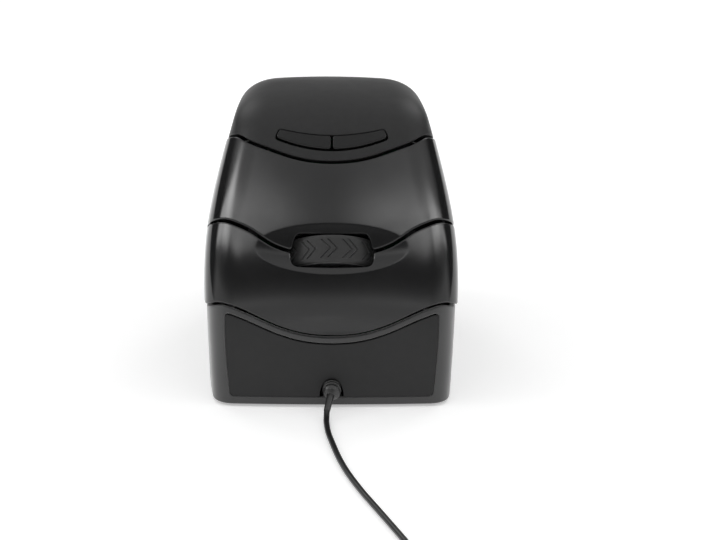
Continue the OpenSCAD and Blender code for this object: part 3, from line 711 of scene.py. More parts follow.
# lower and upper wrap-round keys
DISH_EDGE = dish_rings()
cover("key_lower", "lower_button", shell_data([key_loop(low3, down_edge, 0.9)], side_skin, WALL - KEY_OUT, edge=0.42, top=-KEY_OUT, rings=KEY_RINGS, extra=DISH_EDGE), ["lower_button"])
upper = key_loop(up_edge, high1, 0.9)
ua, uz = np.interp(upper[:, 0], _L, _A), upper[:, 1] / KZ
in_window = (np.abs(ua) < WIN_A) & (np.abs(uz - win_top(np.clip(ua, -WIN_A, WIN_A))) < 0.3)
cover("key_upper", "upper_button", shell_data([upper], side_skin, WALL - KEY_OUT, edge=np.where(in_window, 0.14, 0.42), top=-KEY_OUT, rings=KEY_RINGS, extra=DISH_EDGE), ["upper_button"])
# rear housing
cover("rear_cover", "housing", shell_data([rear_loop(0.9)], side_skin, WALL - KEY_OUT, top=-KEY_OUT), ["rear_housing"])

# base shell with its opening, joined at the rear
outline, cut = base_loops(RINGS)
hole = clockwise(plate_loop(0.0, 0.0, 2.7, 1.0, 1.3, 0, 0))
cuts = np.concatenate([cut, np.zeros(len(hole), bool)])
rounding = np.concatenate([np.full(len(outline), 0.45), top_edge(hole, 0.0, 0.3, 0.08)])
v, f, nn = shell_data([outline, hole], side_skin, 1.8, edge=rounding, cuts=cuts, top=BASE_IN, rings=RINGS)
v, f = weld(v, f)
cover("base_cover", "housing", (v, f, nn), ["base_shell"])

# front plate, set back, with a flange behind the base shell
face = plate_loop(-0.03, -0.3, 2.73, 0.95, 1.25, 5.0, 0)
flange = plate_loop(1.2, 1.0, 2.86, 0.6, 0.6, 5.1, 0)
plate = joined(shell_data([face], side_skin, 2.1, edge=top_edge(face, -0.3, 0.25, 0.06), top=BASE_IN + 0.22),
               shell_data([flange], side_skin, 3.1, edge=0.1, top=1.98, grid=2.4))
cover("front_panel", "housing", plate, ["front_plate"])

# top cover with the opening of the two small keys
q = np.linspace(-180, 180, 2400)[:-1]
rim = resample(top_uv(q, smooth(SEAM1, q) + SEAM / 2), 0.42, True)


def key_area(a0, a1, low, high, r):
    a = np.linspace(a0, a1, 400)
    lo, hi = key_lo(a) + low, key_hi(a) - high
    bottom, upper = top_uv(a, lo), top_uv(a, hi)
    zr, zl = np.linspace(lo[-1], hi[-1], 30), np.linspace(lo[0], hi[0], 30)
    return loop_of([bottom, top_uv(np.full(30, a1), zr), upper[::-1], top_uv(np.full(30, a0), zl)[::-1]], [r, r, r, r], 0.3)


opening = clockwise(key_area(-KEY_A - 0.5, KEY_A + 0.5, 0, 0, 0.9))
cover("top_cover", "housing", shell_data([rim, opening], top_skin, WALL, edge=0.28), ["cap"])
for side_name, a0, a1 in (("left", -KEY_A, -0.62), ("right", 0.62, KEY_A)):
    area = key_area(a0, a1, 0.4, 0.16, 0.75)
    aa = np.linspace(a0, a1, 300)
    low_side = near(area, top_uv(aa, key_lo(aa) + 0.4)) < 0.3
    key = shell_data([area], top_skin, 1.6, edge=np.where(low_side, 0.4, 0.22), top=-0.25, grid=0.8, inner_grid=1.5, rings=KEY_RINGS)
    stem_v, stem_f, stem_n = [], [], []
    cx = -10 if side_name == "left" else 10
    tc = math.radians(36)
    at = lambda x, y, z: (x, -20.6 + y * math.cos(tc) + z * math.sin(tc), 62.8 - y * math.sin(tc) + z * math.cos(tc))
    seg = 24
    prof = [(0.0, 1.3), (1.2, 1.3), (1.2, 5.5), (1.0, 5.7), (0.0, 5.7)]
    for r, y in prof:
        for k in range(seg):
            w = 2 * math.pi * k / seg
            stem_v.append(at(cx + r * math.cos(w), y, 2 + r * math.sin(w)))
    stem_v = np.array(stem_v)
    axis = np.array(at(cx, 3, 2))
    for j in range(1, len(prof) - 2):
        for k in range(seg):
            k2 = (k + 1) % seg
            stem_f.append((j * seg + k, j * seg + k2, (j + 1) * seg + k2, (j + 1) * seg + k))
    stem_f.append(tuple((len(prof) - 2) * seg + k for k in range(seg)))
    stem_f.append(tuple(seg + k for k in range(seg))[::-1])
    d_in = np.array([0, math.cos(tc), -math.sin(tc)])
    fixed = []
    for fc in stem_f:
        c = stem_v[list(fc)].mean(0)
        nrm = np.cross(stem_v[fc[1]] - stem_v[fc[0]], stem_v[fc[2]] - stem_v[fc[0]])
        rad = (c - axis) - d_in * np.dot(c - axis, d_in)
        want = rad if np.linalg.norm(rad) > 0.3 else (d_in if np.dot(c - axis, d_in) > 0 else -d_in)
        fixed.append(fc if np.dot(nrm, want) > 0 else fc[::-1])
        for x in fixed[-1]:
            rr_ = (stem_v[x] - axis) - d_in * np.dot(stem_v[x] - axis, d_in)
            stem_n.append(unit(rr_) if np.linalg.norm(rad) > 0.3 else unit(want))
    cover("top_key_" + side_name, "cap_button_" + side_name, joined(key, (stem_v, fixed, np.array(stem_n))), ["cap_button_" + side_name])


# ------------------------------------------------------------------ wheel tyre with its tread
T34 = math.radians(34)


WHEEL_OUT = 0.6


def wheel_pt(x, y, z):
    """A point of the wheel's own frame: y straight in, z up along the axle."""
    y = y - WHEEL_OUT
    return np.array([x, -27 + y * math.cos(T34) + z * math.sin(T34), 33.1 - y * math.sin(T34) + z * math.cos(T34)])


def close_grid(nr, nc, ring_rows=False):
    """Quads of a grid that closes round its columns, and round its rows too if asked."""
    f = []
    for i in range(nr if ring_rows else nr - 1):
        for j in range(nc):
            a, b = i * nc + j, i * nc + (j + 1) % nc
            c, d = ((i + 1) % nr) * nc + (j + 1) % nc, ((i + 1) % nr) * nc + j
            f.append((a, b, c, d))
    return f


def outward(v, faces, centre_of):
    """Turns each face so that it looks away from its own centre."""
    out = []
    for fc in faces:
        p = v[list(fc)]
        n = np.cross(p[2] - p[0], p[3 % len(fc)] - p[1]) if len(fc) > 3 else np.cross(p[1] - p[0], p[2] - p[0])
        out.append(fc if np.dot(n, p.mean(0) - centre_of(p.mean(0))) > 0 else fc[::-1])
    return out


def sharp(ob, degrees):
    ob.data.set_sharp_from_angle(angle=math.radians(degrees))
    return ob


PERIODS = 14
TYRE_R = 12.3
PITCH = 2 * math.pi * TYRE_R / PERIODS
GROOVES = (0.40, 2.10)                       # centres of the paired grooves within a period, mm
cols = []
for k in range(PERIODS):
    marks = [0.0]
    for g in GROOVES:
        marks += [g - 0.36, g - 0.22, g - 0.08, g + 0.08, g + 0.22, g + 0.36]
    marks += [3.2, 4.0, 4.8]
    cols += [(k * PITCH + m, m) for m in sorted(m for m in marks if m >= 0)]


def groove(m):
    for g in GROOVES:
        d = abs(m - g)
        if d < 0.15:
            return 1.0
        if d < 0.25:
            return 0.7
    return 0.0


# side profile from one bore edge round the tread to the other: (radius, z, share of the groove's depth)
half = [(10.42, 3.1, 0), (10.5, 3.42, 0), (10.9, 3.6, 0), (11.5, 3.6, 0), (11.8, 3.55, 0), (12.05, 3.38, 0), (12.2, 3.1, 0), (12.28, 2.8, 0),
        (12.3, 2.62, 0), (12.3, 2.5, 0), (12.3, 2.38, 1), (12.3, 1.8, 1), (12.3, 1.2, 1), (12.3, 0.6, 1), (12.3, 0.15, 1)]
prof = [(r, -z, g) for r, z, g in half] + [(r, z, g) for r, z, g in half[::-1]]
tv = []
for r, z, share in prof:
    for s, m in cols:
        slant = 2.4 - min(abs(z), 2.4)
        ang = (s - 3.2 + slant) / TYRE_R if share or abs(z) < 2.7 else (s - 3.2) / TYRE_R
        rr_ = r - 0.32 * share * groove(m)
        tv.append(wheel_pt(rr_ * math.sin(ang), -rr_ * math.cos(ang), z))
tv = np.array(tv)
nc = len(cols)
tf = close_grid(len(prof), nc, True)
hub_mid = wheel_pt(0, 0, 0)
axle_dir = np.array([0, math.sin(T34), math.cos(T34)])


def tyre_core(c):
    d = c - hub_mid
    d = d - axle_dir * np.dot(d, axle_dir)
    return hub_mid + d / max(np.linalg.norm(d), 1e-9) * 11.3


tyre = mesh_object("tyre", tv, outward(tv, tf, tyre_core))
sharp(tyre, 38)
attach(tyre, "wheel")
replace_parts(tyre, "wheel_tyre")


# ------------------------------------------------------------------ tubes, strain relief
def frames(path):
    p = np.array(path, float)
    t = unit(np.vstack([p[1:2] - p[:1], p[2:] - p[:-2], p[-1:] - p[-2:-1]]))
    x = np.cross(t[0], [0, 0, 1.0])
    out = []
    for i in range(len(p)):
        x = x - t[i] * np.dot(x, t[i])
        x = x / np.linalg.norm(x)
        out.append((p[i], x, np.cross(t[i], x)))
    return out


def tube_data(path, radii, seg=32):
    fr = frames(path)
    v = []
    for (c, x, y), r in zip(fr, radii):
        for k in range(seg):
            w = 2 * math.pi * k / seg
            v.append(c + (x * math.cos(w) + y * math.sin(w)) * r)
    v = np.array(v)
    f = close_grid(len(fr), seg)
    f.append(tuple(range(seg)))
    f.append(tuple((len(fr) - 1) * seg + k for k in range(seg)))
    cs = np.array([c for c, _, _ in fr])
    mid = cs.mean(0)

    def core(q):
        j = int(np.argmin(np.linalg.norm(cs - q, axis=1)))
        if j == 0 or j == len(cs) - 1:
            return cs[1] if j == 0 else cs[-2]
        return cs[j]
    return v, outward(v, f, core)


relief_route = [(0, -41.6, 5.1), (0, -44, 5.1), (0, -47, 5.1), (-0.4, -49.5, 4.5), (-0.9, -51.5, 3.3), (-1.3, -53, 2.2)]
rp = catmull(relief_route, 22)
rs = np.concatenate([[0], np.cumsum([np.linalg.norm(b - a) for a, b in zip(rp, rp[1:])])])
rad = []
for s in rs:
    r = np.interp(s, [0, 0.6, 2.2, 3.2, 5.2, 6.2, 6.9, 7.3, 7.6, 9.6, 12.6], [2.0, 2.1, 2.15, 2.35, 2.4, 2.25, 1.8, 1.35, 1.0, 0.9, 0.82])
    if 2.2 < s < 5.9:
        ph = (s - 2.2) % 1.2
        r -= 0.55 * math.exp(-((ph - 0.85) / 0.22) ** 2)
    rad.append(r)
relief = mesh_object("cord_guard", *tube_data(rp, rad, 40))
sharp(relief, 60)
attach(relief, "housing")
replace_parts(relief, "strain_relief")

# ------------------------------------------------------------------ plug
PLUG = np.array([-12.6, -170.5, 4.0])


def plug_pt(x, y, z):
    return PLUG + np.array([-x, -y, z])


def section(hw, hh, r, seg=6):
    """Rounded rectangle, counter-clockwise."""
    pts = []
    for cx, cy, a0 in ((hw - r, hh - r, 0), (-hw + r, hh - r, 90), (-hw + r, -hh + r, 180), (hw - r, -hh + r, 270)):
        for k in range(seg + 1):
            a = math.radians(a0 + 90 * k / seg)
            pts.append((cx + r * math.cos(a), cy + r * math.sin(a)))
    return pts


grip_rows = [(0.0, 1.05, 1.05, 1.04), (0.6, 1.35, 1.35, 1.34), (1.6, 1.45, 1.45, 1.44), (1.9, 1.2, 1.2, 1.19), (2.2, 1.2, 1.2, 1.19), (2.5, 1.62, 1.62, 1.6),
             (3.3, 1.75, 1.75, 1.7), (3.6, 1.4, 1.4, 1.38), (3.9, 1.4, 1.4, 1.38), (4.2, 1.95, 1.9, 1.8), (5.2, 2.25, 2.2, 2.0), (5.8, 3.2, 2.6, 2.2),
             (6.2, 5.2, 3.15, 2.2), (6.8, 6.7, 3.6, 1.9), (7.8, 7.45, 3.9, 1.6), (9.2, 7.75, 3.98, 1.4)]
for k in range(5):
    x = 11.0 + 1.9 * k
    grip_rows += [(x, 7.75, 3.98, 1.4), (x + 0.3, 7.5, 3.82, 1.35), (x + 0.8, 7.5, 3.82, 1.35), (x + 1.1, 7.75, 3.98, 1.4)]
grip_rows += [(21.5, 7.78, 3.99, 1.4), (28.6, 7.78, 3.99, 1.4), (29.4, 7.65, 3.88, 1.35), (29.85, 7.35, 3.6, 1.2), (30.0, 7.0, 3.25, 1.0), (30.0, 6.02, 2.27, 0.45), (23.0, 6.02, 2.27, 0.45)]
gv = []
for x, hw, hh, r in grip_rows:
    gv += [plug_pt(x, b, c) for b, c in section(hw, hh, min(r, hw - 0.01, hh - 0.01))]
gv = np.array(gv)
gn = 28
gf = close_grid(len(grip_rows), gn)
gf.append(tuple(range(gn)))
gf.append(tuple((len(grip_rows) - 1) * gn + k for k in range(gn)))


def grip_core(c):
    x = -(c - PLUG)[0]
    off = c - np.array([c[0], PLUG[1], PLUG[2]])
    if x < 0.05:
        return plug_pt(1, 0, 0)
    if x > 29.99:
        return c + np.array([1.0, 0, 0])
    if x > 23.01 and max(abs(off[1]) / 6.02, abs(off[2]) / 2.27) < 1.03:
        return c + off                      # the socket's walls look inward
    if x > 22.9 and max(abs(off[1]) / 6.02, abs(off[2]) / 2.27) < 1.03:
        return c + np.array([1.0, 0, 0])
    return c - off + np.array([0, 0, 0])


grip = mesh_object("plug_body", gv, outward(gv, gf, grip_core))
sharp(grip, 50)
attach(grip, "housing")
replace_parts(grip, "plug_grip")

xs = [22.02, 24, 30, 35, 37.2, 40.5, 41.6, 42.0]
top_y = [5.4, 3.7, 1.5, -1.5, -3.7, -5.4]


def shell_section(hw, hh, r):
    pts = []
    for y in top_y[1:-1]:
        pts.append((y, hh))
    for k in range(5):
        a = math.radians(90 + 90 * k / 4)
        pts.append((-hw + r + r * math.cos(a), hh - r + r * math.sin(a)))
    for k in range(5):
        a = math.radians(180 + 90 * k / 4)
        pts.append((-hw + r + r * math.cos(a), -hh + r + r * math.sin(a)))
    for y in top_y[1:-1][::-1]:
        pts.append((y, -hh))
    for k in range(5):
        a = math.radians(270 + 90 * k / 4)
        pts.append((hw - r + r * math.cos(a), -hh + r + r * math.sin(a)))
    for k in range(5):
        a = math.radians(90 * k / 4)
        pts.append((hw - r + r * math.cos(a), hh - r + r * math.sin(a)))
    return pts


so, si = shell_section(6.0, 2.25, 0.6), shell_section(5.7, 1.95, 0.35)
sn = len(so)
sv = []
for off, sec in ((0, so), (1, si)):
    for x in xs:
        lip = 0.12 if x == 42.0 and off == 0 else 0.0
        sv += [plug_pt(x, a * (1 - lip / 6), b * (1 - lip / 2.25)) for a, b in sec]
sv = np.array(sv)
holes = {(3, j) for j in (0, 2)} | {(3, j) for j in (14, 16)}
full = lambda i, j: 0 <= i < len(xs) - 1 and (i, j % sn) not in holes
sf = []
N1 = len(xs) * sn
for i in range(len(xs) - 1):
    for j in range(sn):
        if not full(i, j):
            continue
        k = (j + 1) % sn
        a, b, c, d = i * sn + j, i * sn + k, (i + 1) * sn + k, (i + 1) * sn + j
        sf.append((a, d, c, b))
        sf.append((N1 + a, N1 + b, N1 + c, N1 + d))
        if not full(i - 1, j):
            sf.append((a, b, N1 + b, N1 + a))
        if not full(i + 1, j):
            sf.append((c, d, N1 + d, N1 + c))
        if not full(i, j - 1):
            sf.append((d, a, N1 + a, N1 + d))
        if not full(i, j + 1):
            sf.append((b, c, N1 + c, N1 + b))


def fix_solid(ob):
    bm = bmesh.new()
    bm.from_mesh(ob.data)
    bmesh.ops.recalc_face_normals(bm, faces=bm.faces)
    bm.to_mesh(ob.data)
    bm.free()
    return ob


pshell = fix_solid(mesh_object("plug_metal_shell", sv, sf))
sharp(pshell, 32)
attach(pshell, "housing")
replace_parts(pshell, "plug_shell")


def rounded_box(name, lo, hi, r, place, seg=3):
    """A box with rounded edges, from a bevelled mesh."""
    bm = bmesh.new()
    bmesh.ops.create_cube(bm, size=1)
    lo, hi = np.array(lo, float), np.array(hi, float)
    for q in bm.verts:
        q.co = Vector((np.array(q.co) + 0.5) * (hi - lo) + lo)
    bmesh.ops.bevel(bm, geom=bm.edges[:], offset=r, segments=seg, profile=0.5, affect="EDGES")
    bm.verts.index_update()
    v = np.array([place(*q.co) for q in bm.verts])
    f = [tuple(x.index for x in fc.verts) for fc in bm.faces]
    bm.free()
    return fix_solid(mesh_object(name, v, f))


tongue = rounded_box("plug_contact_block", (23.05, -5.6, -1.9), (41.0, 5.6, 0.0), 0.18, plug_pt)
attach(tongue, "housing")
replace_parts(tongue, "plug_tongue")
contacts = []
for k, y in enumerate((-3.5, -1.0, 1.0, 3.5)):
    c = rounded_box("plug_contact_%d" % (k + 1), (31.0 if abs(y) < 2 else 29.5, y - 0.5, -0.02), (39.6 if abs(y) < 2 else 40.4, y + 0.5, 0.1), 0.05, plug_pt, 2)
    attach(c, "housing")
    contacts.append(c)

# ------------------------------------------------------------------ ties round the coil
ties = []
for k, deg in enumerate((135, 315)):
    a = math.radians(deg)
    ux, uy = math.cos(a), math.sin(a)
    sec = section((12.95 - 4.55) / 2, 9.5 / 2, 1.4, 8)
    mid_r, mid_z = (12.95 + 4.55) / 2, 9.5 / 2 + 0.12
    rows = [(-1.95, 0.1), (-1.85, 0.0), (1.85, 0.0), (1.95, 0.1)]
    tvv, tff = [], []
    loops_ = []
    for t, inset in rows:
        loops_.append([(p[0] * (1 - inset / 4.2), p[1] * (1 - inset / 4.75), t) for p in sec])
    for t, inset in rows[::-1]:
        loops_.append([(p[0] * (1 - (0.34 - inset) / 4.2), p[1] * (1 - (0.34 - inset) / 4.75), t) for p in sec])
    for lp in loops_:
        for r_, z_, t in lp:
            rr2 = mid_r + r_
            tvv.append((COIL_AT[0] + rr2 * ux - t * uy, COIL_AT[1] + rr2 * uy + t * ux, mid_z + z_))
    tvv = np.array(tvv)
    tff = close_grid(len(loops_), len(sec), True)
    tie = fix_solid(mesh_object("coil_tie_%d" % (k + 1), tvv, tff))
    sharp(tie, 40)
    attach(tie, "housing")
    ties.append(tie)
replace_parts(ties[0], "cord_ties")
ties[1]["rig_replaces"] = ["cord_ties"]


# ------------------------------------------------------------------ materials
class Tree:
    """A material's nodes, written as nested calls."""

    def __init__(self, name, world=False):
        if world:
            self.id = bpy.data.worlds.new(name)
        else:
            self.id = bpy.data.materials.new(name)
        self.id.use_nodes = True
        self.t = self.id.node_tree
        self.t.nodes.clear()

    def node(self, kind, props=None, **ins):
        n = self.t.nodes.new(kind)
        for k, v in (props or {}).items():
            setattr(n, k, v)
        for k, v in ins.items():
            self.put(n, k.replace("_", " "), v)
        return n

    def put(self, n, key, v):
        s = n.inputs[key]
        if isinstance(v, bpy.types.NodeSocket):
            self.t.links.new(v, s)
        else:
            s.default_value = v

    def math(self, op, a, b=0.0, c=None, clamp=False):
        n = self.t.nodes.new("ShaderNodeMath")
        n.operation = op
        n.use_clamp = clamp
        self.put(n, 0, a)
        self.put(n, 1, b)
        if c is not None:
            self.put(n, 2, c)
        return n.outputs[0]

    def ramp(self, v, a, b, lo=0.0, hi=1.0, soft=False):
        n = self.node("ShaderNodeMapRange", {"interpolation_type": "SMOOTHSTEP" if soft else "LINEAR", "clamp": True})
        self.put(n, "Value", v)
        for k, x in (("From Min", a), ("From Max", b), ("To Min", lo), ("To Max", hi)):
            self.put(n, k, x)
        return n.outputs[0]

    def mix(self, f, a, b):
        n = self.node("ShaderNodeMix", {"data_type": "RGBA"})
        self.put(n, 0, f)
        for k, c in ((6, a), (7, b)):
            self.put(n, k, c if isinstance(c, bpy.types.NodeSocket) else (*c, 1.0))
        return n.outputs[2]

    def noise(self, at, mm, detail=2.0, rough=0.5, stretch=None):
        v = at
        if stretch is not None:
            m = self.node("ShaderNodeMapping")
            self.put(m, "Vector", at)
            m.inputs["Scale"].default_value = stretch
            v = m.outputs[0]
        n = self.node("ShaderNodeTexNoise")
        self.put(n, "Vector", v)
        n.inputs["Scale"].default_value = 1000.0 / mm
        n.inputs["Detail"].default_value = detail
        n.inputs["Roughness"].default_value = rough
        return n.outputs["Fac"]

    def place(self):
        return self.node("ShaderNodeTexCoord").outputs["Object"]

    def bump(self, height, mm, strength=1.0, normal=None):
        n = self.node("ShaderNodeBump")
        self.put(n, "Height", height)
        n.inputs["Distance"].default_value = mm * MM
        n.inputs["Strength"].default_value = strength
        if normal is not None:
            self.put(n, "Normal", normal)
        return n.outputs["Normal"]

    def finish(self, shader):
        o = self.node("ShaderNodeOutputMaterial")
        self.t.links.new(shader.outputs[0], o.inputs[0])
        return self.id


def scaled(c, k):
    return tuple(min(x * k, 1.0) for x in c)


def moulded(name, col, rough, spread=0.06, grain=0.3, depth=0.006, mottling=0.12, spec=0.5, patch=14.0, edge=0.0,
            metal=0.0, coat=0.0, coat_rough=0.1, sheen=0.0, stretch=None, flow=0.0):
    """Moulded plastic or rubber: fine grain, slow drift of gloss, a little unevenness of colour."""
    t = Tree(name)
    at = t.place()
    fine = t.noise(at, grain, 3.0, 0.6, stretch)
    slow = t.noise(at, patch, 3.0, 0.55)
    mid = t.noise(at, 2.2, 4.0, 0.6)
    c = t.mix(t.ramp(mid, 0.3, 0.7), scaled(col, 1 - mottling), scaled(col, 1 + mottling))
    if edge:
        # convex edges found by pointiness get a lighter colour: partly wear, partly a painted highlight standing in for
        # light catching the rounded edges
        geo = t.node("ShaderNodeNewGeometry")
        edge_wear_and_highlight = t.ramp(geo.outputs["Pointiness"], 0.53, 0.62, 0.0, 1.0, True)
        c = t.mix(t.math("MULTIPLY", edge_wear_and_highlight, edge), c, scaled(col, 2.2))
    r = t.math("ADD", t.ramp(slow, 0.3, 0.7, rough - spread, rough + spread), t.ramp(fine, 0.25, 0.75, -0.25 * spread, 0.25 * spread))
    b = t.node("ShaderNodeBsdfPrincipled")
    t.put(b, "Base Color", c)
    t.put(b, "Roughness", r)
    b.inputs["Specular IOR Level"].default_value = spec
    b.inputs["Metallic"].default_value = metal
    if coat:
        b.inputs["Coat Weight"].default_value = coat
        b.inputs["Coat Roughness"].default_value = coat_rough
    if sheen:
        b.inputs["Sheen Weight"].default_value = sheen
        b.inputs["Sheen Roughness"].default_value = 0.5
    nrm = t.bump(fine, depth)
    if flow:
        nrm = t.bump(slow, flow, 1.0, nrm)
    t.put(b, "Normal", nrm)
    return t.finish(b)


def turned(name, col, rough=0.28):
    """Turned or plated metal with fine drawn lines."""
    t = Tree(name)
    at = t.place()
    lines = t.noise(at, 0.25, 3.0, 0.6, (1.0, 1.0, 9.0))
    slow = t.noise(at, 3.0, 3.0, 0.6)
    b = t.node("ShaderNodeBsdfPrincipled")
    t.put(b, "Base Color", t.mix(t.ramp(slow, 0.3, 0.7), scaled(col, 0.9), scaled(col, 1.06)))
    t.put(b, "Roughness", t.math("ADD", t.ramp(lines, 0.3, 0.7, rough - 0.06, rough + 0.08), t.ramp(slow, 0.3, 0.7, -0.04, 0.05)))
    b.inputs["Metallic"].default_value = 1.0
    t.put(b, "Normal", t.bump(lines, 0.004))
    return t.finish(b)


def circuit(name):
    """Green solder mask over copper tracks, with plated pads."""
    t = Tree(name)
    at = t.place()
    tracks = t.node("ShaderNodeTexBrick")
    t.put(tracks, "Vector", at)
    for k, v in (("Scale", 1.0), ("Mortar Size", 0.00016), ("Mortar Smooth", 0.1), ("Brick Width", 0.0062), ("Row Height", 0.0013)):
        tracks.inputs[k].default_value = v
    line = tracks.outputs["Fac"]
    cells = t.node("ShaderNodeTexVoronoi", {"feature": "F1"})
    t.put(cells, "Vector", at)
    cells.inputs["Scale"].default_value = 420.0
    pad = t.ramp(cells.outputs["Distance"], 0.16, 0.2, 1.0, 0.0)
    weave = t.noise(at, 0.3, 2.0, 0.5)
    c = t.mix(t.ramp(weave, 0.3, 0.7), (0.006, 0.075, 0.03), (0.01, 0.11, 0.045))
    c = t.mix(line, c, (0.03, 0.2, 0.08))
    c = t.mix(pad, c, (0.55, 0.5, 0.4))
    b = t.node("ShaderNodeBsdfPrincipled")
    t.put(b, "Base Color", c)
    t.put(b, "Roughness", t.ramp(weave, 0.3, 0.7, 0.24, 0.38))
    t.put(b, "Metallic", t.math("MULTIPLY", pad, 0.9))
    t.put(b, "Normal", t.bump(t.math("ADD", line, t.math("MULTIPLY", pad, 1.5)), 0.03))
    return t.finish(b)


def clear(name, col, rough=0.06):
    t = Tree(name)
    at = t.place()
    slow = t.noise(at, 1.6, 3.0, 0.6)
    b = t.node("ShaderNodeBsdfPrincipled")
    t.put(b, "Base Color", t.mix(t.ramp(slow, 0.3, 0.7), scaled(col, 0.94), scaled(col, 1.04)))
    t.put(b, "Roughness", t.ramp(slow, 0.3, 0.7, rough * 0.6, rough * 1.6))
    b.inputs["Transmission Weight"].default_value = 0.9
    b.inputs["IOR"].default_value = 1.49
    t.put(b, "Normal", t.bump(slow, 0.01))
    return t.finish(b)


def film(name):
    """Amber flat cable: darker conductors side by side under the film."""
    t = Tree(name)
    at = t.place()
    w = t.node("ShaderNodeTexWave", {"wave_type": "BANDS", "bands_direction": "X", "wave_profile": "SIN"})
    t.put(w, "Vector", at)
    w.inputs["Scale"].default_value = 320.0
    w.inputs["Distortion"].default_value = 0.0
    stripe = t.ramp(w.outputs["Fac"], 0.45, 0.6, 0.0, 1.0, True)
    slow = t.noise(at, 4.0, 3.0, 0.5)
    b = t.node("ShaderNodeBsdfPrincipled")
    t.put(b, "Base Color", t.mix(stripe, (0.62, 0.42, 0.14), (0.36, 0.2, 0.06)))
    t.put(b, "Roughness", t.ramp(slow, 0.3, 0.7, 0.24, 0.42))
    t.put(b, "Normal", t.bump(stripe, 0.03))
    return t.finish(b)


KEY = moulded("key_plastic", (0.0095, 0.0095, 0.0098), 0.135, spread=0.03, grain=0.35, depth=0.0012, mottling=0.08, patch=16, flow=0.012)
CAP = moulded("cap_plastic", (0.0175, 0.0175, 0.0178), 0.46, spread=0.04, grain=0.22, depth=0.006, mottling=0.1, spec=0.31)
CAP_KEY = moulded("cap_key_plastic", (0.0058, 0.0058, 0.006), 0.36, spread=0.04, grain=0.22, depth=0.005, mottling=0.1, spec=0.34)
PLATE = moulded("plate_plastic", (0.009, 0.009, 0.0093), 0.42, spread=0.05, grain=0.24, depth=0.006, mottling=0.1, spec=0.36)
BODY = moulded("body_plastic", (0.0092, 0.0092, 0.0095), 0.43, spread=0.05, grain=0.3, depth=0.003, mottling=0.1, spec=0.66, sheen=0.55)
REAR = moulded("rear_plastic", (0.0092, 0.0092, 0.0095), 0.4, spread=0.05, grain=0.3, depth=0.003, mottling=0.1, spec=0.48, sheen=0.1)
UNDER = moulded("under_plastic", (0.014, 0.014, 0.0144), 0.5, spread=0.06, grain=0.35, depth=0.012, mottling=0.14)
TYRE = moulded("tyre_rubber", (0.015, 0.015, 0.015), 0.62, spread=0.06, grain=0.2, depth=0.008, mottling=0.15, sheen=0.22)
RELIEF = moulded("relief_rubber", (0.011, 0.011, 0.011), 0.3, spread=0.05, grain=0.2, depth=0.005, mottling=0.12, spec=0.7)
JACKET = moulded("cord_jacket", (0.011, 0.011, 0.011), 0.36, spread=0.06, grain=0.25, depth=0.005, mottling=0.12)
FRAME_GREY = moulded("frame_plastic", (0.09, 0.09, 0.098), 0.48, spread=0.06, grain=0.4, depth=0.008)
SWITCH = moulded("switch_plastic", (0.02, 0.02, 0.022), 0.4, grain=0.25, depth=0.004)
IVORY = moulded("plunger_plastic", (0.72, 0.7, 0.62), 0.34, grain=0.25, depth=0.003, mottling=0.04)
WHITE_PAD = moulded("glide", (0.72, 0.72, 0.69), 0.36, spread=0.08, grain=0.3, depth=0.004, mottling=0.05, stretch=(1, 0.15, 1))
STEEL = turned("steel", (0.58, 0.58, 0.6))
NICKEL = turned("plug_metal", (0.72, 0.72, 0.73), 0.22)
GOLD = turned("contact_gold", (0.83, 0.62, 0.25), 0.24)
BOARD = circuit("board")
LENS = clear("lens", (0.93, 0.95, 0.96))
LAMP = clear("lamp", (0.75, 0.06, 0.04), 0.1)
RIBBON = film("ribbon")


def paint(ob, m):
    if not ob.material_slots:
        ob.data.materials.append(m)
    for s in ob.material_slots:
        s.link = "OBJECT"
        s.material = m


NODE_LOOKS = {
    "base_shell": BODY, "front_plate": PLATE, "lower_button": KEY, "upper_button": KEY, "hinge_brackets": FRAME_GREY,
    "rear_housing": REAR, "cap": CAP, "cap_button_left": CAP_KEY, "cap_button_right": CAP_KEY, "base_plate": UNDER,
    "glide_feet": WHITE_PAD, "base_screws": STEEL, "chassis": FRAME_GREY, "button_hinge_pins": STEEL,
    "wheel_hub": FRAME_GREY, "wheel_tyre": TYRE, "wheel_axle": STEEL, "wheel_carrier": FRAME_GREY,
    "carrier_guide_pins": STEEL, "wheel_encoder": SWITCH, "wheel_switch": SWITCH, "wheel_plunger": IVORY,
    "upper_switch": SWITCH, "upper_plunger": IVORY, "lower_switch": SWITCH, "lower_plunger": IVORY,
    "cap_switch_left": SWITCH, "cap_switch_right": SWITCH, "cap_plunger_left": IVORY, "cap_plunger_right": IVORY,
    "front_board": BOARD, "main_board": BOARD, "cap_board": BOARD, "sensor_chip": SWITCH, "sensor_lens": LENS,
    "sensor_lamp": LAMP, "front_ribbon": RIBBON, "cap_ribbon": RIBBON, "cord_socket": IVORY, "inner_lead": JACKET,
    "strain_relief": RELIEF, "cord_tube": JACKET, "cord_coil": JACKET, "cord_ties": RELIEF, "cord_tail": JACKET,
    "plug_grip": RELIEF, "plug_shell": NICKEL, "plug_tongue": IVORY,
}
for n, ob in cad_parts.items():
    paint(ob, NODE_LOOKS[n])
for n, m in (("key_lower", KEY), ("key_upper", KEY), ("rear_cover", REAR), ("base_cover", BODY), ("front_panel", PLATE),
             ("top_cover", CAP), ("top_key_left", CAP_KEY), ("top_key_right", CAP_KEY)):
    paint(covers[n], m)
paint(tyre, TYRE)
paint(relief, RELIEF)
paint(grip, RELIEF)
paint(pshell, NICKEL)
paint(tongue, IVORY)
for c in contacts:
    paint(c, GOLD)
for c in ties:
    paint(c, RELIEF)
paint(cord, JACKET)
for c in (cord, grip, pshell, tongue, *contacts, *ties):
    c.visible_glossy = False                 # the coil beside the picture isn't mirrored in the keys

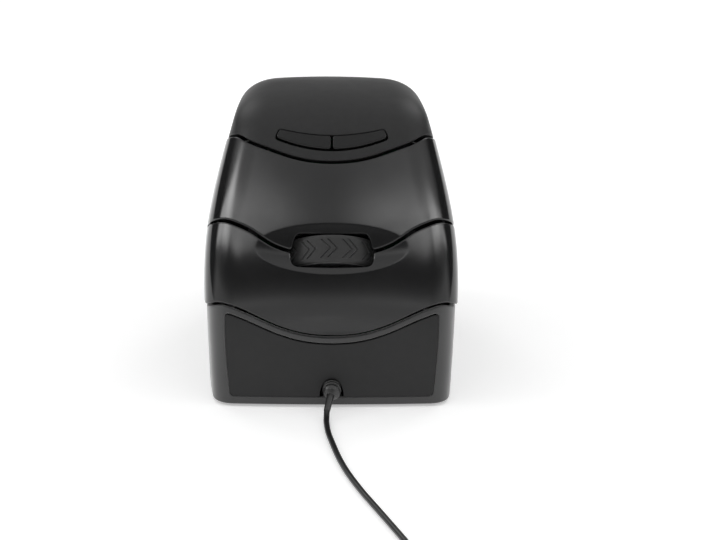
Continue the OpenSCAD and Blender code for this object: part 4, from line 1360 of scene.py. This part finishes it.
# ------------------------------------------------------------------ floor and light
me = bpy.data.meshes.new("floor")
me.from_pydata([(-4, -4, 0), (4, -4, 0), (4, 4, 0), (-4, 4, 0)], [], [(0, 1, 2, 3)])
floor = bpy.data.objects.new("floor", me)
bpy.context.scene.collection.objects.link(floor)
t = Tree("floor")
b = t.node("ShaderNodeBsdfPrincipled")
t.put(b, "Base Color", t.mix(t.noise(t.place(), 60.0, 2.0), (0.86, 0.86, 0.86), (0.88, 0.88, 0.88)))
b.inputs["Roughness"].default_value = 0.6
b.inputs["Specular IOR Level"].default_value = 0.2
b.inputs["Emission Color"].default_value = (1, 1, 1, 1)
b.inputs["Emission Strength"].default_value = 0.38
floor.data.materials.append(t.finish(b))

CEILING, CEILING_BACK = 0.8, 0.44
w = Tree("studio", world=True)
bpy.context.scene.world = w.id
sep = w.node("ShaderNodeSeparateXYZ")
w.put(sep, 0, w.node("ShaderNodeTexCoord").outputs["Generated"])
X, Y, Z = sep.outputs[0], sep.outputs[1], sep.outputs[2]
front = w.math("MULTIPLY", Y, -1.0)
zpos = w.math("MAXIMUM", Z, 0.02)
u, v = w.math("DIVIDE", X, zpos), w.math("DIVIDE", front, zpos)      # where a ray meets a ceiling one unit up


def window_of(q, a, b, soft):
    return w.math("MULTIPLY", w.ramp(q, a - soft, a + soft, 0, 1, True), w.ramp(q, b - soft, b + soft, 1, 0, True))


def curve_of(q, pts):
    n = w.node("ShaderNodeFloatCurve")
    w.put(n, "Value", w.ramp(q, pts[0][0], pts[-1][0]))
    c = n.mapping.curves[0]
    lo, hi = pts[0][0], pts[-1][0]
    top = max(p[1] for p in pts)
    c.points[0].location = (0.0, pts[0][1] / top)
    c.points[1].location = (1.0, pts[-1][1] / top)
    for a, b in pts[1:-1]:
        c.points.new((a - lo) / (hi - lo), b / top)
    n.mapping.update()
    return w.math("MULTIPLY", n.outputs[0], top)


au = w.math("ABSOLUTE", u)
t0 = w.math("SUBTRACT", au, 0.5)
bent = w.math("MULTIPLY", w.math("ADD", t0, w.math("SQRT", w.math("ADD", w.math("MULTIPLY", t0, t0), 0.09))), 0.5)
s = w.math("ADD", w.math("SUBTRACT", v, 0.74), w.math("MULTIPLY", bent, 0.62))   # past the middle of the row of lights
ceiling = w.math("MULTIPLY", w.ramp(s, -0.09, 0.02, 1.0, 0.0, True), w.ramp(Z, 0.26, 0.46, 0, 1, True))
ceiling = w.math("MULTIPLY", ceiling, w.ramp(s, -0.22, -0.09, 1.15, 1.02, True))
behind = w.ramp(v, 0.35, -0.9, CEILING, CEILING_BACK, True)
near_edge = w.math("ADD", w.ramp(u, -1.0, -1.35, -0.05, -0.19, True), w.ramp(u, 0.05, 0.3, 0, 0.016, True))
far_right, far_left = w.ramp(u, 0.9, 1.2, 0, 1, True), w.ramp(u, -1.25, -0.95, 1, 0, True)
fall_from = w.math("ADD", w.math("MULTIPLY", w.math("ADD", far_right, far_left), 0.052), 0.018)
fall_to = w.math("ADD", w.math("MULTIPLY", w.math("ADD", far_right, far_left), 0.07), 0.1)
lit = w.math("MULTIPLY", w.ramp(w.math("SUBTRACT", s, near_edge), -0.02, 0.06, 0, 1, True), w.ramp(s, fall_from, fall_to, 1, 0, True))
strip = w.math("MULTIPLY", w.math("MULTIPLY", lit, w.ramp(Z, 0.2, 0.28, 0, 1, True)),
               curve_of(u, [(-3.6, 0.2), (-3.2, 2.0), (-2.9, 4.2), (-2.6, 5.3), (-2.1, 6.0), (-1.8, 7.2), (-1.5, 9.2), (-1.3, 8.2), (-1.1, 6.4), (-0.9, 6.0),
                            (-0.7, 5.6), (-0.4, 5.5), (-0.3, 4.5), (-0.2, 2.9), (-0.1, 1.6), (0.0, 1.15), (0.1, 2.0), (0.2, 3.7), (0.3, 5.2), (0.4, 5.9),
                            (0.7, 6.1), (0.9, 6.1), (1.1, 6.8), (1.3, 7.6), (1.5, 8.2), (1.8, 6.4), (2.1, 5.2), (2.7, 5.0), (3.1, 3.2), (3.6, 0.2)]))
total = w.math("MAXIMUM", w.math("MULTIPLY", ceiling, behind), strip)
pale = curve_of(Z, [(0.0, 1.0), (0.12, 0.92), (0.26, 0.84), (0.36, 0.54), (0.46, 0.27), (0.56, 0.14), (0.66, 0.08), (1.0, 0.08)])
round_front = w.ramp(front, -0.30, 0.05, 0.0, 1.0, True)
wall_back = w.math("MULTIPLY", w.ramp(front, -0.80, -0.92, 0.0, 1.0, True), w.ramp(Z, 0.10, 0.17, 0.95, 0.28, True))
ax = w.math("ABSOLUTE", X)
aside = w.math("MULTIPLY", w.math("MULTIPLY", w.ramp(ax, 0.02, 0.16, 0, 1, True), w.ramp(ax, 0.3, 0.6, 1, 0, True)), w.ramp(Z, 0.18, 0.3, 0, 0.42, True))
room = w.math("MAXIMUM", w.math("MULTIPLY", w.math("MULTIPLY", pale, w.math("ADD", aside, 1.0)), round_front), wall_back)
total = w.math("MAXIMUM", total, w.math("MAXIMUM", room, 0.04))
# soft strips behind, for the rear
du = w.math("MAXIMUM", Y, 0.02)
p, q = w.math("ABSOLUTE", w.math("DIVIDE", X, du)), w.math("DIVIDE", Z, du)
total = w.math("ADD", total, w.math("MULTIPLY", w.math("MULTIPLY", window_of(p, 0.45, 0.95, 0.1), window_of(q, 0.5, 1.6, 0.12)), 2.2))
bg1 = w.node("ShaderNodeBackground")
w.put(bg1, "Color", (1, 1, 1, 1))
w.put(bg1, "Strength", total)
bg2 = w.node("ShaderNodeBackground")
w.put(bg2, "Color", (1, 1, 1, 1))
w.put(bg2, "Strength", 1.0)
mx = w.node("ShaderNodeMixShader")
w.put(mx, 0, w.node("ShaderNodeLightPath").outputs["Is Camera Ray"])
w.t.links.new(bg1.outputs[0], mx.inputs[1])
w.t.links.new(bg2.outputs[0], mx.inputs[2])
o = w.node("ShaderNodeOutputWorld")
w.t.links.new(mx.outputs[0], o.inputs[0])
bpy.context.scene.view_settings.view_transform = "Standard"
bpy.context.scene.view_settings.look = "None"
